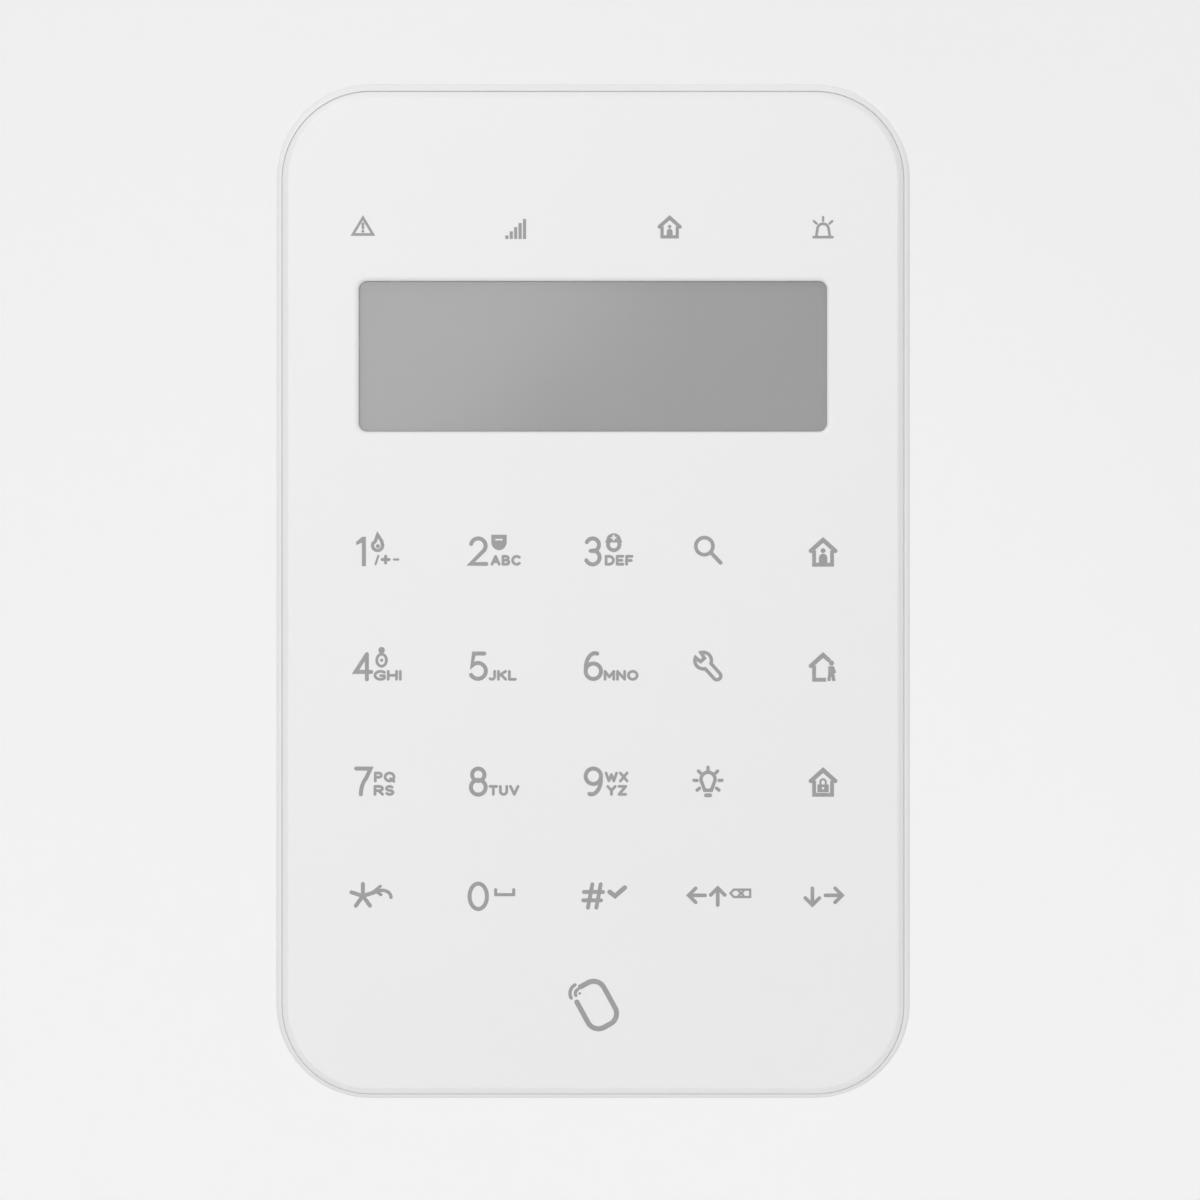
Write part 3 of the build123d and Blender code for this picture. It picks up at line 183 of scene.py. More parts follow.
def dress(piece, material):
    """Gives a piece this one material."""
    piece.data.materials.clear()
    piece.data.materials.append(material)


def moulded(name, colour, low, high, grain=0.00032, depth=0.000012):
    """Moulded plastic with a fine eroded texture."""
    finish = Finish(name, colour, (low + high) / 2)
    finish.mottle(0.03, 0.012).roughen(0.004, low, high)
    return finish.bump(finish.noise(grain, 3), depth).bump(finish.noise(0.02, 1), 0.00006, 0.4)


def metal(name, colour, low, high, grain=(1, 1, 1)):
    """Plated or rolled metal with fine lines along one axis."""
    finish = Finish(name, colour, (low + high) / 2, Metallic=1.0)
    lines = finish.stretched(grain)
    finish.mottle(0.004, 0.05).roughen(0.0006, low, high, along=lines)
    return finish.bump(finish.noise(0.0003, 3, lines), 0.000006)


def casing_materials():
    """White mouldings, the glossy face and the tape that holds it."""
    moulded("casing_plastic", (0.80, 0.80, 0.795), 0.42, 0.52).put_on("rear_shell", "front_frame")
    moulded("plate_plastic", (0.77, 0.77, 0.76), 0.5, 0.6, 0.0004, 0.00002).put_on("wall_plate")
    panel = Finish("panel_plastic", (0.83, 0.83, 0.828), 0.3, IOR=1.49)
    panel.mottle(0.05, 0.003).roughen(0.012, 0.28, 0.32)
    panel.bump(panel.noise(0.0006, 2), 0.0000015).bump(panel.noise(0.03, 1), 0.00001, 0.4)
    panel.put_on("front_panel")
    tape = Finish("tape_film", (0.74, 0.74, 0.71), 0.6)
    tape.mottle(0.006, 0.04).roughen(0.002, 0.5, 0.7).bump(tape.noise(0.0012, 4), 0.00003)
    tape.put_on("panel_tape")
    moulded("plunger_plastic", (0.68, 0.68, 0.67), 0.35, 0.5).put_on("tamper_plunger")
    moulded("slider_plastic", (0.74, 0.74, 0.73), 0.35, 0.5).put_on("power_slider")


def window_material():
    """Smoked, slightly hazy window. Lamplight passes straight through to the display behind."""
    finish = Finish("window_acrylic", (0.53, 0.53, 0.531), 0.1, IOR=1.49, Transmission_Weight=0.5)
    finish.mottle(0.02, 0.004).roughen(0.01, 0.09, 0.11)
    clear = finish.node("ShaderNodeBsdfTransparent")
    clear.inputs["Color"].default_value = (0.93, 0.935, 0.935, 1)
    path = finish.node("ShaderNodeLightPath")
    mix = finish.node("ShaderNodeMixShader")
    finish.link(path.outputs["Is Shadow Ray"], mix.inputs[0])
    finish.link(finish.shader.outputs[0], mix.inputs[1])
    finish.link(clear.outputs[0], mix.inputs[2])
    finish.link(mix.outputs[0], finish.output.inputs["Surface"])
    finish.put_on("display_window")


def display_materials():
    """The unlit display: grey polariser film over glass, with the dot cells just visible."""
    low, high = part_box("display_polariser")
    film = Finish("polariser_film", (0.33, 0.335, 0.33), 0.35)
    split = film.node("ShaderNodeSeparateXYZ")
    film.link(film.coords, split.inputs[0])
    columns, rows = 16, 2
    dots_across, dots_up = 6, 9
    used_width, used_height = 0.93, 0.74
    dot_gap = 0.06
    cell_x = (high.x - low.x) * used_width / columns
    cell_z = (high.z - low.z) * used_height / rows

    def inside(axis, centre, cell, count, gap):
        """1 inside the evenly spaced dots of one axis and 0 in the gaps between them."""
        place = film.math("DIVIDE", film.math("SUBTRACT", axis, centre - cell * count / 2), cell)
        within = film.math("FRACT", place)
        off_centre = film.math("ABSOLUTE", film.math("SUBTRACT", within, 0.5))
        dot = film.math("LESS_THAN", off_centre, 0.5 - gap)
        bounds = film.math("ABSOLUTE", film.math("SUBTRACT", place, count / 2))
        return film.math("MULTIPLY", dot, film.math("LESS_THAN", bounds, count / 2))

    x, z = split.outputs["X"], split.outputs["Z"]
    centre_x, centre_z = (low.x + high.x) / 2, (low.z + high.z) / 2
    letters = film.math("MULTIPLY", inside(x, centre_x, cell_x, columns, 0.08),
                        inside(z, centre_z, cell_z, rows, 0.07))
    dots = film.math(
        "MULTIPLY",
        inside(x, centre_x, cell_x / dots_across, columns * dots_across, dot_gap),
        inside(z, centre_z, cell_z / dots_up, rows * dots_up, dot_gap))
    dots = film.math("MULTIPLY", letters, dots)
    film.paint(film.blend(dots, (0.336, 0.341, 0.336), (0.325, 0.33, 0.325)))
    film.roughen(0.006, 0.3, 0.4).bump(film.noise(0.0004, 2), 0.000002)
    film.put_on("display_polariser")

    glass = Finish("display_glass", (0.42, 0.45, 0.43), 0.08, IOR=1.5)
    glass.mottle(0.01, 0.02).roughen(0.01, 0.05, 0.1).put_on("display_glass")
    gasket = Finish("gasket_foam", (0.30, 0.30, 0.30), 0.9)
    gasket.mottle(0.001, 0.15).roughen(0.001, 0.8, 1.0)
    gasket.bump(gasket.cells(0.0004), 0.00008).put_on("display_gasket")
    metal("bezel_steel", (0.6, 0.6, 0.6), 0.3, 0.45, (1, 1, 12)).put_on("display_bezel")
    diffuser = Finish("diffuser_plastic", (0.82, 0.84, 0.85), 0.35, IOR=1.49)
    diffuser.mottle(0.006, 0.02).roughen(0.003, 0.28, 0.42)
    diffuser.bump(diffuser.cells(0.0009), 0.00004)
    diffuser.put_on("display_backlight", "key_light_guide",
                    *[f"status_light_pipe_{n}" for n in range(1, 5)])


def board_materials():
    """The circuit board and what is soldered to it."""
    board = Finish("board_laminate", (0.022, 0.12, 0.062), 0.35)
    weave = board.math("MULTIPLY", board.cells(0.0011), board.noise(0.0011, 2))
    tracks = board.spread(board.noise(0.0028, 0, board.stretched((1, 1, 4))), 0, 1, 0.52, 0.53)
    board.paint(board.blend(tracks, (0.02, 0.11, 0.055), (0.035, 0.17, 0.085)))
    board.roughen(0.002, 0.28, 0.42).bump(weave, 0.00002).bump(tracks, 0.00003)
    board.put_on("circuit_board")
    metal("pad_gold", (0.83, 0.62, 0.27), 0.2, 0.35).put_on("touch_pads")
    led = Finish("led_resin", (0.86, 0.80, 0.52), 0.2, IOR=1.5)
    led.mottle(0.0004, 0.12).roughen(0.0005, 0.12, 0.28).bump(led.noise(0.0004, 2), 0.00002)
    led.put_on("key_lights", "status_lights")
    block = Finish("light_block_plastic", (0.06, 0.06, 0.062), 0.6)
    block.mottle(0.003, 0.1).roughen(0.001, 0.5, 0.7).bump(block.noise(0.0003, 3), 0.00002)
    block.put_on("status_light_block")
    ferrite = Finish("ferrite_sheet", (0.035, 0.035, 0.038), 0.7)
    ferrite.mottle(0.002, 0.2).roughen(0.001, 0.55, 0.85).bump(ferrite.noise(0.0005, 5), 0.00003)
    ferrite.put_on("ferrite_sheet")
    metal("coil_copper", (0.72, 0.36, 0.17), 0.25, 0.4).put_on("tag_antenna")
    chip = Finish("chip_resin", (0.028, 0.028, 0.03), 0.55)
    chip.mottle(0.001, 0.15).roughen(0.0006, 0.45, 0.65).bump(chip.noise(0.0002, 3), 0.00001)
    chip.put_on("microcontroller", "tag_reader_chip", "board_passives")
    moulded("black_plastic", (0.03, 0.03, 0.031), 0.4, 0.55).put_on("buzzer", "tamper_switch")
    tin = metal("tinned_steel", (0.72, 0.72, 0.71), 0.25, 0.42, (1, 1, 10))
    tin.put_on("radio_module", "radio_antenna", "power_switch", "display_pins")
    moulded("connector_plastic", (0.78, 0.75, 0.66), 0.4, 0.5).put_on("battery_connector")


def battery_materials():
    """Printed film sleeve on a steel can, with a pale band at the positive end."""
    steel_end = 1.2 * MM
    band = 5.5 * MM
    blue, pale_print, bare_steel = (0.05, 0.09, 0.19), (0.62, 0.64, 0.66), (0.66, 0.66, 0.64)
    for number in range(1, 5):
        node = f"battery_{number}"
        low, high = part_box(node)
        sleeve = Finish(f"sleeve_{number}", blue, 0.28, Coat_Weight=0.4)
        split = sleeve.node("ShaderNodeSeparateXYZ")
        sleeve.link(sleeve.coords, split.inputs[0])
        height = split.outputs["Z"]
        # distance from the positive end, which points up on cells 1 and 3
        from_end = (sleeve.math("SUBTRACT", high.z, height) if number % 2
                    else sleeve.math("SUBTRACT", height, low.z))
        pale = sleeve.math("LESS_THAN", from_end, band)
        bare = sleeve.math("LESS_THAN", from_end, steel_end)
        tail = sleeve.math("GREATER_THAN", from_end, high.z - low.z - steel_end / 2)
        print_colour = sleeve.blend(pale, blue, pale_print)
        any_bare = sleeve.math("MAXIMUM", bare, tail)
        sleeve.paint(sleeve.blend(any_bare, print_colour, bare_steel))
        sleeve.link(any_bare, sleeve.shader.inputs["Metallic"])
        sleeve.roughen(0.003, 0.2, 0.36).bump(sleeve.noise(0.006, 2), 0.00006, 0.5)
        sleeve.put_on(node)
    metal("contact_nickel", (0.74, 0.72, 0.68), 0.2, 0.35).put_on("battery_contacts")
    metal("spring_nickel", (0.7, 0.69, 0.67), 0.22, 0.35, (1, 1, 8)).put_on("battery_springs")
    metal("spring_steel", (0.62, 0.62, 0.62), 0.2, 0.35, (1, 8, 1)).put_on("tamper_spring")
    for name, colour, node in (("lead_red", (0.42, 0.02, 0.015), "battery_lead_positive"),
                               ("lead_black", (0.02, 0.02, 0.02), "battery_lead_negative")):
        lead = Finish(name, colour, 0.45)
        lead.mottle(0.002, 0.08).roughen(0.001, 0.38, 0.52).bump(lead.noise(0.0006, 2), 0.00001)
        lead.put_on(node)


def screw_materials():
    """Zinc plate inside the casing, darker steel for the lock screw."""
    metal("screw_zinc", (0.66, 0.66, 0.62), 0.28, 0.45).put_on("case_screws", "board_screws")
    metal("lock_screw_steel", (0.5, 0.5, 0.495), 0.24, 0.38).put_on("lock_screw")


def ink_material():
    """Matt grey print, slightly uneven in tone and gloss."""
    ink = Finish("legend_ink", (0.325, 0.325, 0.327), 0.5)
    ink.mottle(0.0008, 0.05).roughen(0.0006, 0.42, 0.58).bump(ink.noise(0.00025, 2), 0.000002)
    return ink.material


# ------------------------------------------------------------------ printed legends
INK_RAISE = 0.02 * MM
INK_SINK = 0.02 * MM
INK_STEP = 0.001 * MM
MERGE_DISTANCE = 1e-7
LINE = 0.6
ARROW_LINE = 0.54
ROOF_LINE = 0.68
BAR_LINE = 0.58
STATUS_LINE = 0.4
HOUSE_SCALE = 0.96
ARC_STEP = 8
SHARPEST_MITRE = 0.45


def arc(x, z, radius, start, end, radius_z=None):
    """Points on an arc or ellipse about (x, z), from one angle to another in degrees."""
    count = max(2, round(abs(end - start) / ARC_STEP)) + 1
    angles = [math.radians(start + (end - start) * i / (count - 1)) for i in range(count)]
    tall = radius if radius_z is None else radius_z
    return [(x + radius * math.cos(a), z + tall * math.sin(a)) for a in angles]


def disc(x, z, radius, radius_z=None):
    """A filled circle or ellipse, as one group of loops."""
    return [arc(x, z, radius, 0, 360 - ARC_STEP, radius_z)]


def box(x0, z0, x1, z1):
    """A filled rectangle between two corners, as one group of loops."""
    return [[(x0, z0), (x1, z0), (x1, z1), (x0, z1)]]


def side_line(points, half, closed):
    """The points moved half a line's width to their left, with mitred corners."""
    moved = []
    last = len(points) - 1
    for i, here in enumerate(points):
        before = points[i - 1] if (closed or i) else None
        after = points[(i + 1) % len(points)] if (closed or i < last) else None
        here = Vector(here)
        way_in = (here - Vector(before)).normalized() if before else None
        way_out = (Vector(after) - here).normalized() if after else None
        first, second = way_in or way_out, way_out or way_in
        across = Vector((-first.y - second.y, first.x + second.x)).normalized()
        square = max(SHARPEST_MITRE, across.dot(Vector((-first.y, first.x))))
        moved.append(tuple(here + across * half / square))
    return moved


def line(points, width=LINE, closed=False, rounded=True):
    """A line of even width along the points, as one group of loops."""
    half = width / 2
    if closed:
        return [side_line(points, -half, True), side_line(points, half, True)]
    left = side_line(points, half, False)
    right = side_line(points, -half, False)
    if not rounded:
        return [right + left[::-1]]

    def cap(end, inner):
        way = math.degrees(math.atan2(end[1] - inner[1], end[0] - inner[0]))
        return arc(*end, half, way - 90, way + 90)[1:-1]

    return [right + cap(points[-1], points[-2]) + left[::-1] + cap(points[0], points[1])]


def shifted(groups, x, z, scale=1.0, turn=0.0):
    """The same groups of loops, scaled and turned about their own origin, then moved."""
    c, s = math.cos(math.radians(turn)) * scale, math.sin(math.radians(turn)) * scale
    return [[[(x + px * c - pz * s, z + px * s + pz * c) for px, pz in loop] for loop in group]
            for group in groups]


def print_prism(mesh, group, level):
    """Adds one closed flat solid to the mesh. The first loop is its edge, others are holes."""
    top = -INK_RAISE - level * INK_STEP
    loops = [[Vector((x, z, 0)) for x, z in loop] for loop in group]
    flat = [p for loop in loops for p in loop]
    front = [mesh.verts.new((p.x * MM, top, p.y * MM)) for p in flat]
    back = [mesh.verts.new((p.x * MM, INK_SINK, p.y * MM)) for p in flat]
    for corners in tessellate_polygon(loops):
        mesh.faces.new([front[i] for i in corners])
        mesh.faces.new([back[i] for i in reversed(corners)])
    start = 0
    for loop in loops:
        for i in range(len(loop)):
            a, b = start + i, start + (i + 1) % len(loop)
            mesh.faces.new((front[a], front[b], back[b], back[a]))
        start += len(loop)


def legend(name, place, groups):
    """One printed legend on the face, with its origin at the place given as x and z."""
    mesh = bmesh.new()
    for level, group in enumerate(groups):
        print_prism(mesh, group, level)
    bmesh.ops.remove_doubles(mesh, verts=mesh.verts, dist=MERGE_DISTANCE)
    bmesh.ops.recalc_face_normals(mesh, faces=mesh.faces)
    bmesh.ops.translate(mesh, verts=mesh.verts, vec=(place[0], FACE_Y, place[1]))
    data = bpy.data.meshes.new(name)
    mesh.to_mesh(data)
    mesh.free()
    data.materials.append(INK)
    piece = bpy.data.objects.new(name, data)
    bpy.context.scene.collection.objects.link(piece)
    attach(piece, HOUSING)


# Digits: lines in a box that is 2.5 wide and 3.9 high, with the lower left corner at (0, 0).
DIGITS = {
    "0": [line(arc(1.25, 1.95, 1.3, 0, 352, 1.9), closed=True)],
    "1": [line([(1.35, 4.1), (1.35, -0.3)], rounded=False),
          [[(1.6, 4.1), (1.1, 4.1), (0.2, 3.35), (0.2, 2.85), (1.2, 3.3)]]],
    "2": [line(arc(1.25, 2.75, 1.1, 165, -38) + [(0.1, 0.05), (2.45, 0.05)])],
    "3": [line(arc(1.15, 2.9, 0.95, 155, -80) + [(0.85, 2.0)]),
          line([(0.85, 2.0)] + arc(1.15, 1.02, 1.04, 80, -155))],
    "4": [line([(1.8, 3.75), (0.1, 1.1), (2.45, 1.1)]), line([(1.8, 0), (1.8, 3.75)])],
    "5": [line([(2.15, 3.85), (0.6, 3.85), (0.3, 2.0)] + arc(1.2, 1.25, 1.18, 128, -150))],
    "6": [line(arc(1.25, 1.2, 1.15, 0, 352), closed=True),
          line(arc(1.5, 1.5, 1.4, 172, 76, 2.4))],
    "7": [line([(0.2, 3.85), (2.35, 3.85)] + arc(2.95, 0.0, 2.05, 128, 180, 3.05))],
    "8": [line(arc(1.25, 2.92, 0.92, 0, 352), closed=True),
          line(arc(1.25, 1.06, 1.1, 0, 352), closed=True)],
    "9": [line(arc(1.25, 2.7, 1.15, 0, 352), closed=True),
          line(arc(1.0, 2.4, 1.4, -8, -104, 2.4))],
}
DIGIT_X, DIGIT_Z = -1.2, -1.85
STEM = [(0, 0), (0, 1)]
# Small capitals: a width for a height of 1, then strokes in a box whose sides are both 1.
CAPITALS = {
    "A": (0.85, [[(0, 0), (0.5, 1)], [(0.5, 1), (1, 0)], [(0.2, 0.32), (0.8, 0.32)]]),
    "B": (0.7, [STEM, [(0, 1)] + arc(0.5, 0.76, 0.4, 90, -90, 0.24) + [(0, 0.52)],
                [(0, 0.52)] + arc(0.55, 0.26, 0.45, 90, -90, 0.26) + [(0, 0)]]),
    "C": (0.8, [arc(0.6, 0.5, 0.6, 48, 312, 0.5)]),
    "D": (0.8, [STEM, [(0, 1)] + arc(0.4, 0.5, 0.6, 90, -90, 0.5) + [(0, 0)]]),
    "E": (0.62, [STEM, [(0, 1), (1, 1)], [(0, 0.5), (0.85, 0.5)], [(0, 0), (1, 0)]]),
    "F": (0.6, [STEM, [(0, 1), (1, 1)], [(0, 0.48), (0.85, 0.48)]]),
    "G": (0.85, [arc(0.6, 0.5, 0.6, 48, 300, 0.5) + [(1, 0.15), (1, 0.45)],
                 [(1, 0.45), (0.6, 0.45)]]),
    "H": (0.75, [STEM, [(1, 0), (1, 1)], [(0, 0.5), (1, 0.5)]]),
    "I": (0, [STEM]),
    "J": (0.45, [[(1, 1)] + arc(0.4, 0.35, 0.6, 0, -130, 0.35)]),
    "K": (0.7, [STEM, [(1, 1), (0, 0.42)], [(0.35, 0.6), (1, 0)]]),
    "L": (0.58, [STEM, [(0, 0), (1, 0)]]),
    "M": (0.95, [STEM, [(1, 0), (1, 1)], [(0, 1), (0.5, 0.3)], [(1, 1), (0.5, 0.3)]]),
    "N": (0.78, [STEM, [(1, 0), (1, 1)], [(0, 1), (1, 0)]]),
    "O": (0.95, [arc(0.5, 0.5, 0.5, 90, 270, 0.5), arc(0.5, 0.5, 0.5, 90, -90, 0.5)]),
    "P": (0.65, [STEM, [(0, 1)] + arc(0.55, 0.73, 0.45, 90, -90, 0.27) + [(0, 0.46)]]),
    "Q": (0.95, [arc(0.5, 0.5, 0.5, 90, 270, 0.5), arc(0.5, 0.5, 0.5, 90, -90, 0.5),
                 [(0.62, 0.28), (1, -0.05)]]),
    "R": (0.7, [STEM, [(0, 1)] + arc(0.55, 0.73, 0.45, 90, -90, 0.27) + [(0, 0.46)],
                [(0.5, 0.46), (1, 0)]]),
    "S": (0.62, [arc(0.5, 0.75, 0.46, 35, 270, 0.25), arc(0.5, 0.25, 0.5, 90, -145, 0.25)]),
    "T": (0.75, [[(0, 1), (1, 1)], [(0.5, 0), (0.5, 1)]]),
    "U": (0.72, [[(0, 1)] + arc(0.5, 0.4, 0.5, 180, 360, 0.4) + [(1, 1)]]),
    "V": (0.85, [[(0, 1), (0.5, 0)], [(0.5, 0), (1, 1)]]),
    "W": (1.25, [[(0, 1), (0.27, 0)], [(0.27, 0), (0.5, 0.8)], [(0.5, 0.8), (0.73, 0)],
                 [(0.73, 0), (1, 1)]]),
    "X": (0.8, [[(0, 0), (1, 1)], [(0, 1), (1, 0)]]),
    "Y": (0.8, [[(0, 1), (0.5, 0.48)], [(1, 1), (0.5, 0.48)], [(0.5, 0.48), (0.5, 0)]]),
    "Z": (0.72, [[(0, 1), (1, 1)], [(1, 1), (0, 0)], [(0, 0), (1, 0)]]),
}
SMALL, SMALL_LINE, SMALL_GAP = 1.6, 0.41, 0.56
LETTER_X, LETTER_Z = 1.6, -2.06
ROW_STEP = 2.0
# Letters beside each digit: text, how far in its left edge is, its width, and its row.
LETTERS = {
    "2": [("ABC", 0.3, 4.5, 0)], "3": [("DEF", 0.15, 4.3, 0)], "4": [("GHI", 0, 4.2, 0)],
    "5": [("JKL", 0, 4.2, 0)], "6": [("MNO", 0, 5.2, 0)],
    "7": [("PQ", 0.05, 3.2, 1), ("RS", 0, 3.1, 0)],
    "8": [("TUV", 0, 4.6, 0)], "9": [("WX", 0.15, 3.55, 1), ("YZ", 0.4, 3.1, 0)],
}
PUNCTUATION = [line([(1.9, -1.85), (2.3, -0.6)], 0.32), line([(3.4, -0.65), (3.4, -1.65)], 0.46),
               line([(2.9, -1.15), (3.9, -1.15)], 0.46), line([(4.65, -1.15), (5.3, -1.15)], 0.32)]
SPACE_BRACKET = [line([(2.65, 1.1), (2.65, 0.35), (5.35, 0.35), (5.35, 1.1)], 0.46)]


def small_letters(text, x, z, width):
    """A row of small capitals that fills the width, with its lower left corner at (x, z)."""
    found = []
    stretch = ((width - SMALL_LINE - SMALL_GAP * (len(text) - 1))
               / sum(CAPITALS[letter][0] for letter in text))
    x, z, tall = x + SMALL_LINE / 2, z + SMALL_LINE / 2, SMALL - SMALL_LINE
    for letter in text:
        wide = CAPITALS[letter][0] * stretch
        for stroke in CAPITALS[letter][1]:
            found.append(line([(x + px * wide, z + pz * tall) for px, pz in stroke], SMALL_LINE))
        x += wide + SMALL_GAP
    return found


def house(base=-2.0):
    """Outline of a house: a roof with eaves, and three walls."""
    walls = [(-1.4, 0.2), (-1.4, base), (1.4, base), (1.4, 0.2)]
    roof = [(-1.9, 0.15), (0, 1.85), (1.9, 0.15)]
    return [line(roof, ROOF_LINE), line(walls, rounded=False)]


def person(x, z, size):
    """Head and shoulders, with the point given in the middle of the shoulders."""
    half, head_up, head = 0.78 * size, 1.35 * size, 0.45 * size
    body = arc(x, z, half, 0, 180) + [(x - half, z - size), (x + half, z - size)]
    return [disc(x, z + head_up, head), [body]]


def arrow(x0, z0, x1, z1, head=1.05):
    """An open-headed arrow from one point to another."""
    tail, tip = Vector((x0, z0)), Vector((x1, z1))
    back = (tail - tip).normalized() * head
    side = Vector((-back.y, back.x))
    wings = [tuple(tip + back + side), tuple(tip), tuple(tip + back - side)]
    return [line([tuple(tail), tuple(tip)], ARROW_LINE), line(wings, ARROW_LINE)]


def small_icons():
    """The small emergency marks beside 1 to 4: flame, shield, nurse's cap and person in need."""
    tongue = [(0, 1.3), (0.62, 0.35)] + arc(0, -0.3, 0.75, 25, -205) + [(-0.35, 0.3)]
    flame = [line(tongue, 0.5, closed=True), disc(0.05, -0.4, 0.3)]
    edge = ([(-1.15, 1.1), (1.15, 1.1), (1.15, 0.1)] + arc(0, 0.05, 1.15, -6, -174, 1.25)
            + [(-1.15, 0.1)])
    shield = [[edge, box(-0.55, 0.25, 0.55, 0.5)[0]]]
    cross = [(-0.14, 1.1), (0.14, 1.1), (0.14, 0.84), (0.4, 0.84), (0.4, 0.56), (0.14, 0.56),
             (0.14, 0.3), (-0.14, 0.3), (-0.14, 0.56), (-0.4, 0.56), (-0.4, 0.84), (-0.14, 0.84)]
    cap = [[arc(0, 0.45, 1.08, 0, 180, 0.92) + [(-1.3, 0.0), (1.3, 0.0)], cross],
           line(arc(0, -0.3, 0.85, 20, -200), 0.56)]
    needy = [disc(0, 1.0, 0.48), line(arc(0, -0.5, 0.72, 0, 352, 0.9), 0.42, closed=True),
             disc(0, -0.5, 0.24)]
    return {"1": (2.2, 1.25, flame), "2": (3.15, 1.45, shield), "3": (3.1, 1.4, cap),
            "4": (2.8, 1.5, needy)}


def number_keys():
    """Legends of the keys 1 to 9 and 0."""
    icons = small_icons()
    places = key_places()
    for number in range(10):
        digit = str(number)
        row, column = divmod(number - 1, 3) if number else (3, 1)
        groups = shifted(DIGITS[digit], DIGIT_X, DIGIT_Z)
        if digit in icons:
            x, z, icon = icons[digit]
            groups += shifted(icon, x, z)
        if digit == "1":
            groups += PUNCTUATION
        if digit == "0":
            groups += SPACE_BRACKET
        for text, inset, width, level in LETTERS.get(digit, ()):
            groups += small_letters(text, LETTER_X + inset, LETTER_Z + ROW_STEP * level, width)
        legend(f"legend_{digit}", places[row][column], groups)


def spokes(x, z, inner, outer, angles, width):
    """Short lines that stand out from a point, at angles in degrees from straight up."""
    found = []
    for angle in angles:
        way = Vector((math.sin(math.radians(angle)), math.cos(math.radians(angle))))
        ends = [(x + way.x * reach, z + way.y * reach) for reach in (inner, outer)]
        found.append(line(ends, width))
    return found


def spanner():
    """Outline of an open-ended spanner that stands upright."""
    jaw = arc(0, 1.35, 1.35, -62, 64) + [(0.4, 1.5), (-0.4, 1.5)] + arc(0, 1.35, 1.35, 116, 242)
    return jaw + [(-0.63, -2.0)] + arc(0, -2.0, 0.63, 190, 350) + [(0.63, -2.0)]


def symbol_keys():
    """Legends of the star, hash and function keys."""
    places = key_places()
    star = spokes(0, 0.15, 0, 1.8, range(0, 360, 72), LINE)
    back = [line(arc(2.9, -0.05, 1.3, 0, 110, 1.05), 0.5),
            line([(2.6, 1.6), (1.8, 0.95), (2.7, 0.35)], 0.46)]
    legend("legend_star", places[3][0], star + back)
    bars = [line(ends, BAR_LINE) for ends in (
        [(-0.75, -1.6), (-0.1, 1.9)], [(0.5, -1.6), (1.15, 1.9)],
        [(-1.35, 0.75), (1.5, 0.75)], [(-1.45, -0.5), (1.2, -0.5)])]
    tick = [line([(2.5, 0.75), (3.3, 0.15), (4.75, 1.4)], 0.7)]
    legend("legend_hash", places[3][2], bars + tick)

    lens = [line(arc(-0.55, 0.85, 1.28, 0, 352), 0.55, closed=True),
            line([(0.42, -0.1), (1.88, -1.63)], BAR_LINE)]
    legend("legend_search", places[0][3], lens)
    wrench = [line(spanner(), 0.56, closed=True)]
    legend("legend_wrench", places[1][3], shifted(wrench, 0.1, 0.02, scale=0.92, turn=42))

    globe = arc(0, 0.4, 1.05, -32, 212) + [(-0.5, -1.25), (0.5, -1.25)]
    bulb = [line(globe, 0.52, closed=True), line([(-0.3, -2.0), (0.3, -2.0)])]
    rays = spokes(0, 0.1, 1.65, 2.1, range(-129, 130, 43), 0.5)
    legend("legend_light", places[2][3], bulb + rays)

    tab = [(3.85, 1.1), (3.35, 0.55), (3.85, 0.0), (6.3, 0.0), (6.3, 1.1)]
    erase = [line(tab, 0.34, closed=True),
             line([(4.6, 0.85), (5.3, 0.25)], 0.32), line([(5.3, 0.85), (4.6, 0.25)], 0.32)]
    legend("legend_left_up", places[3][3],
           arrow(-0.45, 0.25, -2.9, 0.25) + arrow(1.45, -1.2, 1.45, 1.35) + erase)
    legend("legend_down_right", places[3][4],
           arrow(-1.6, 1.3, -1.6, -1.2) + arrow(0.35, 0.25, 2.85, 0.25))

    home = house() + person(0, -0.95, 0.84)
    legend("legend_home", places[0][4], shifted(home, 0, 0, HOUSE_SCALE))
    left_part = [line([(-1.9, 0.15), (0, 1.85), (0.85, 1.09)], ROOF_LINE),
                 line([(-1.4, 0.2), (-1.4, -2.0), (0.45, -2.0)], rounded=False)]
    walker = [disc(1.3, 0.6, 0.4),
              [[(0.8, 0.1), (1.7, 0.1), (2.05, -0.9), (1.75, -1.0), (1.95, -2.2), (1.4, -2.2),
                (1.25, -1.4), (1.15, -2.2), (0.65, -2.2), (0.8, -0.9)]]]
    legend("legend_away", places[1][4], shifted(left_part + walker, 0, 0, HOUSE_SCALE))
    loop = [(-0.42, -0.5), (-0.42, 0)] + arc(0, 0, 0.42, 180, 0) + [(0.42, -0.5)]
    body = [box(-0.88, -1.6, 0.88, -0.4)[0], arc(0, -0.98, 0.2, 0, 352)]
    locked = house() + [line(loop, 0.32, rounded=False), body]
    legend("legend_locked", places[2][4], shifted(locked, 0, 0, HOUSE_SCALE))


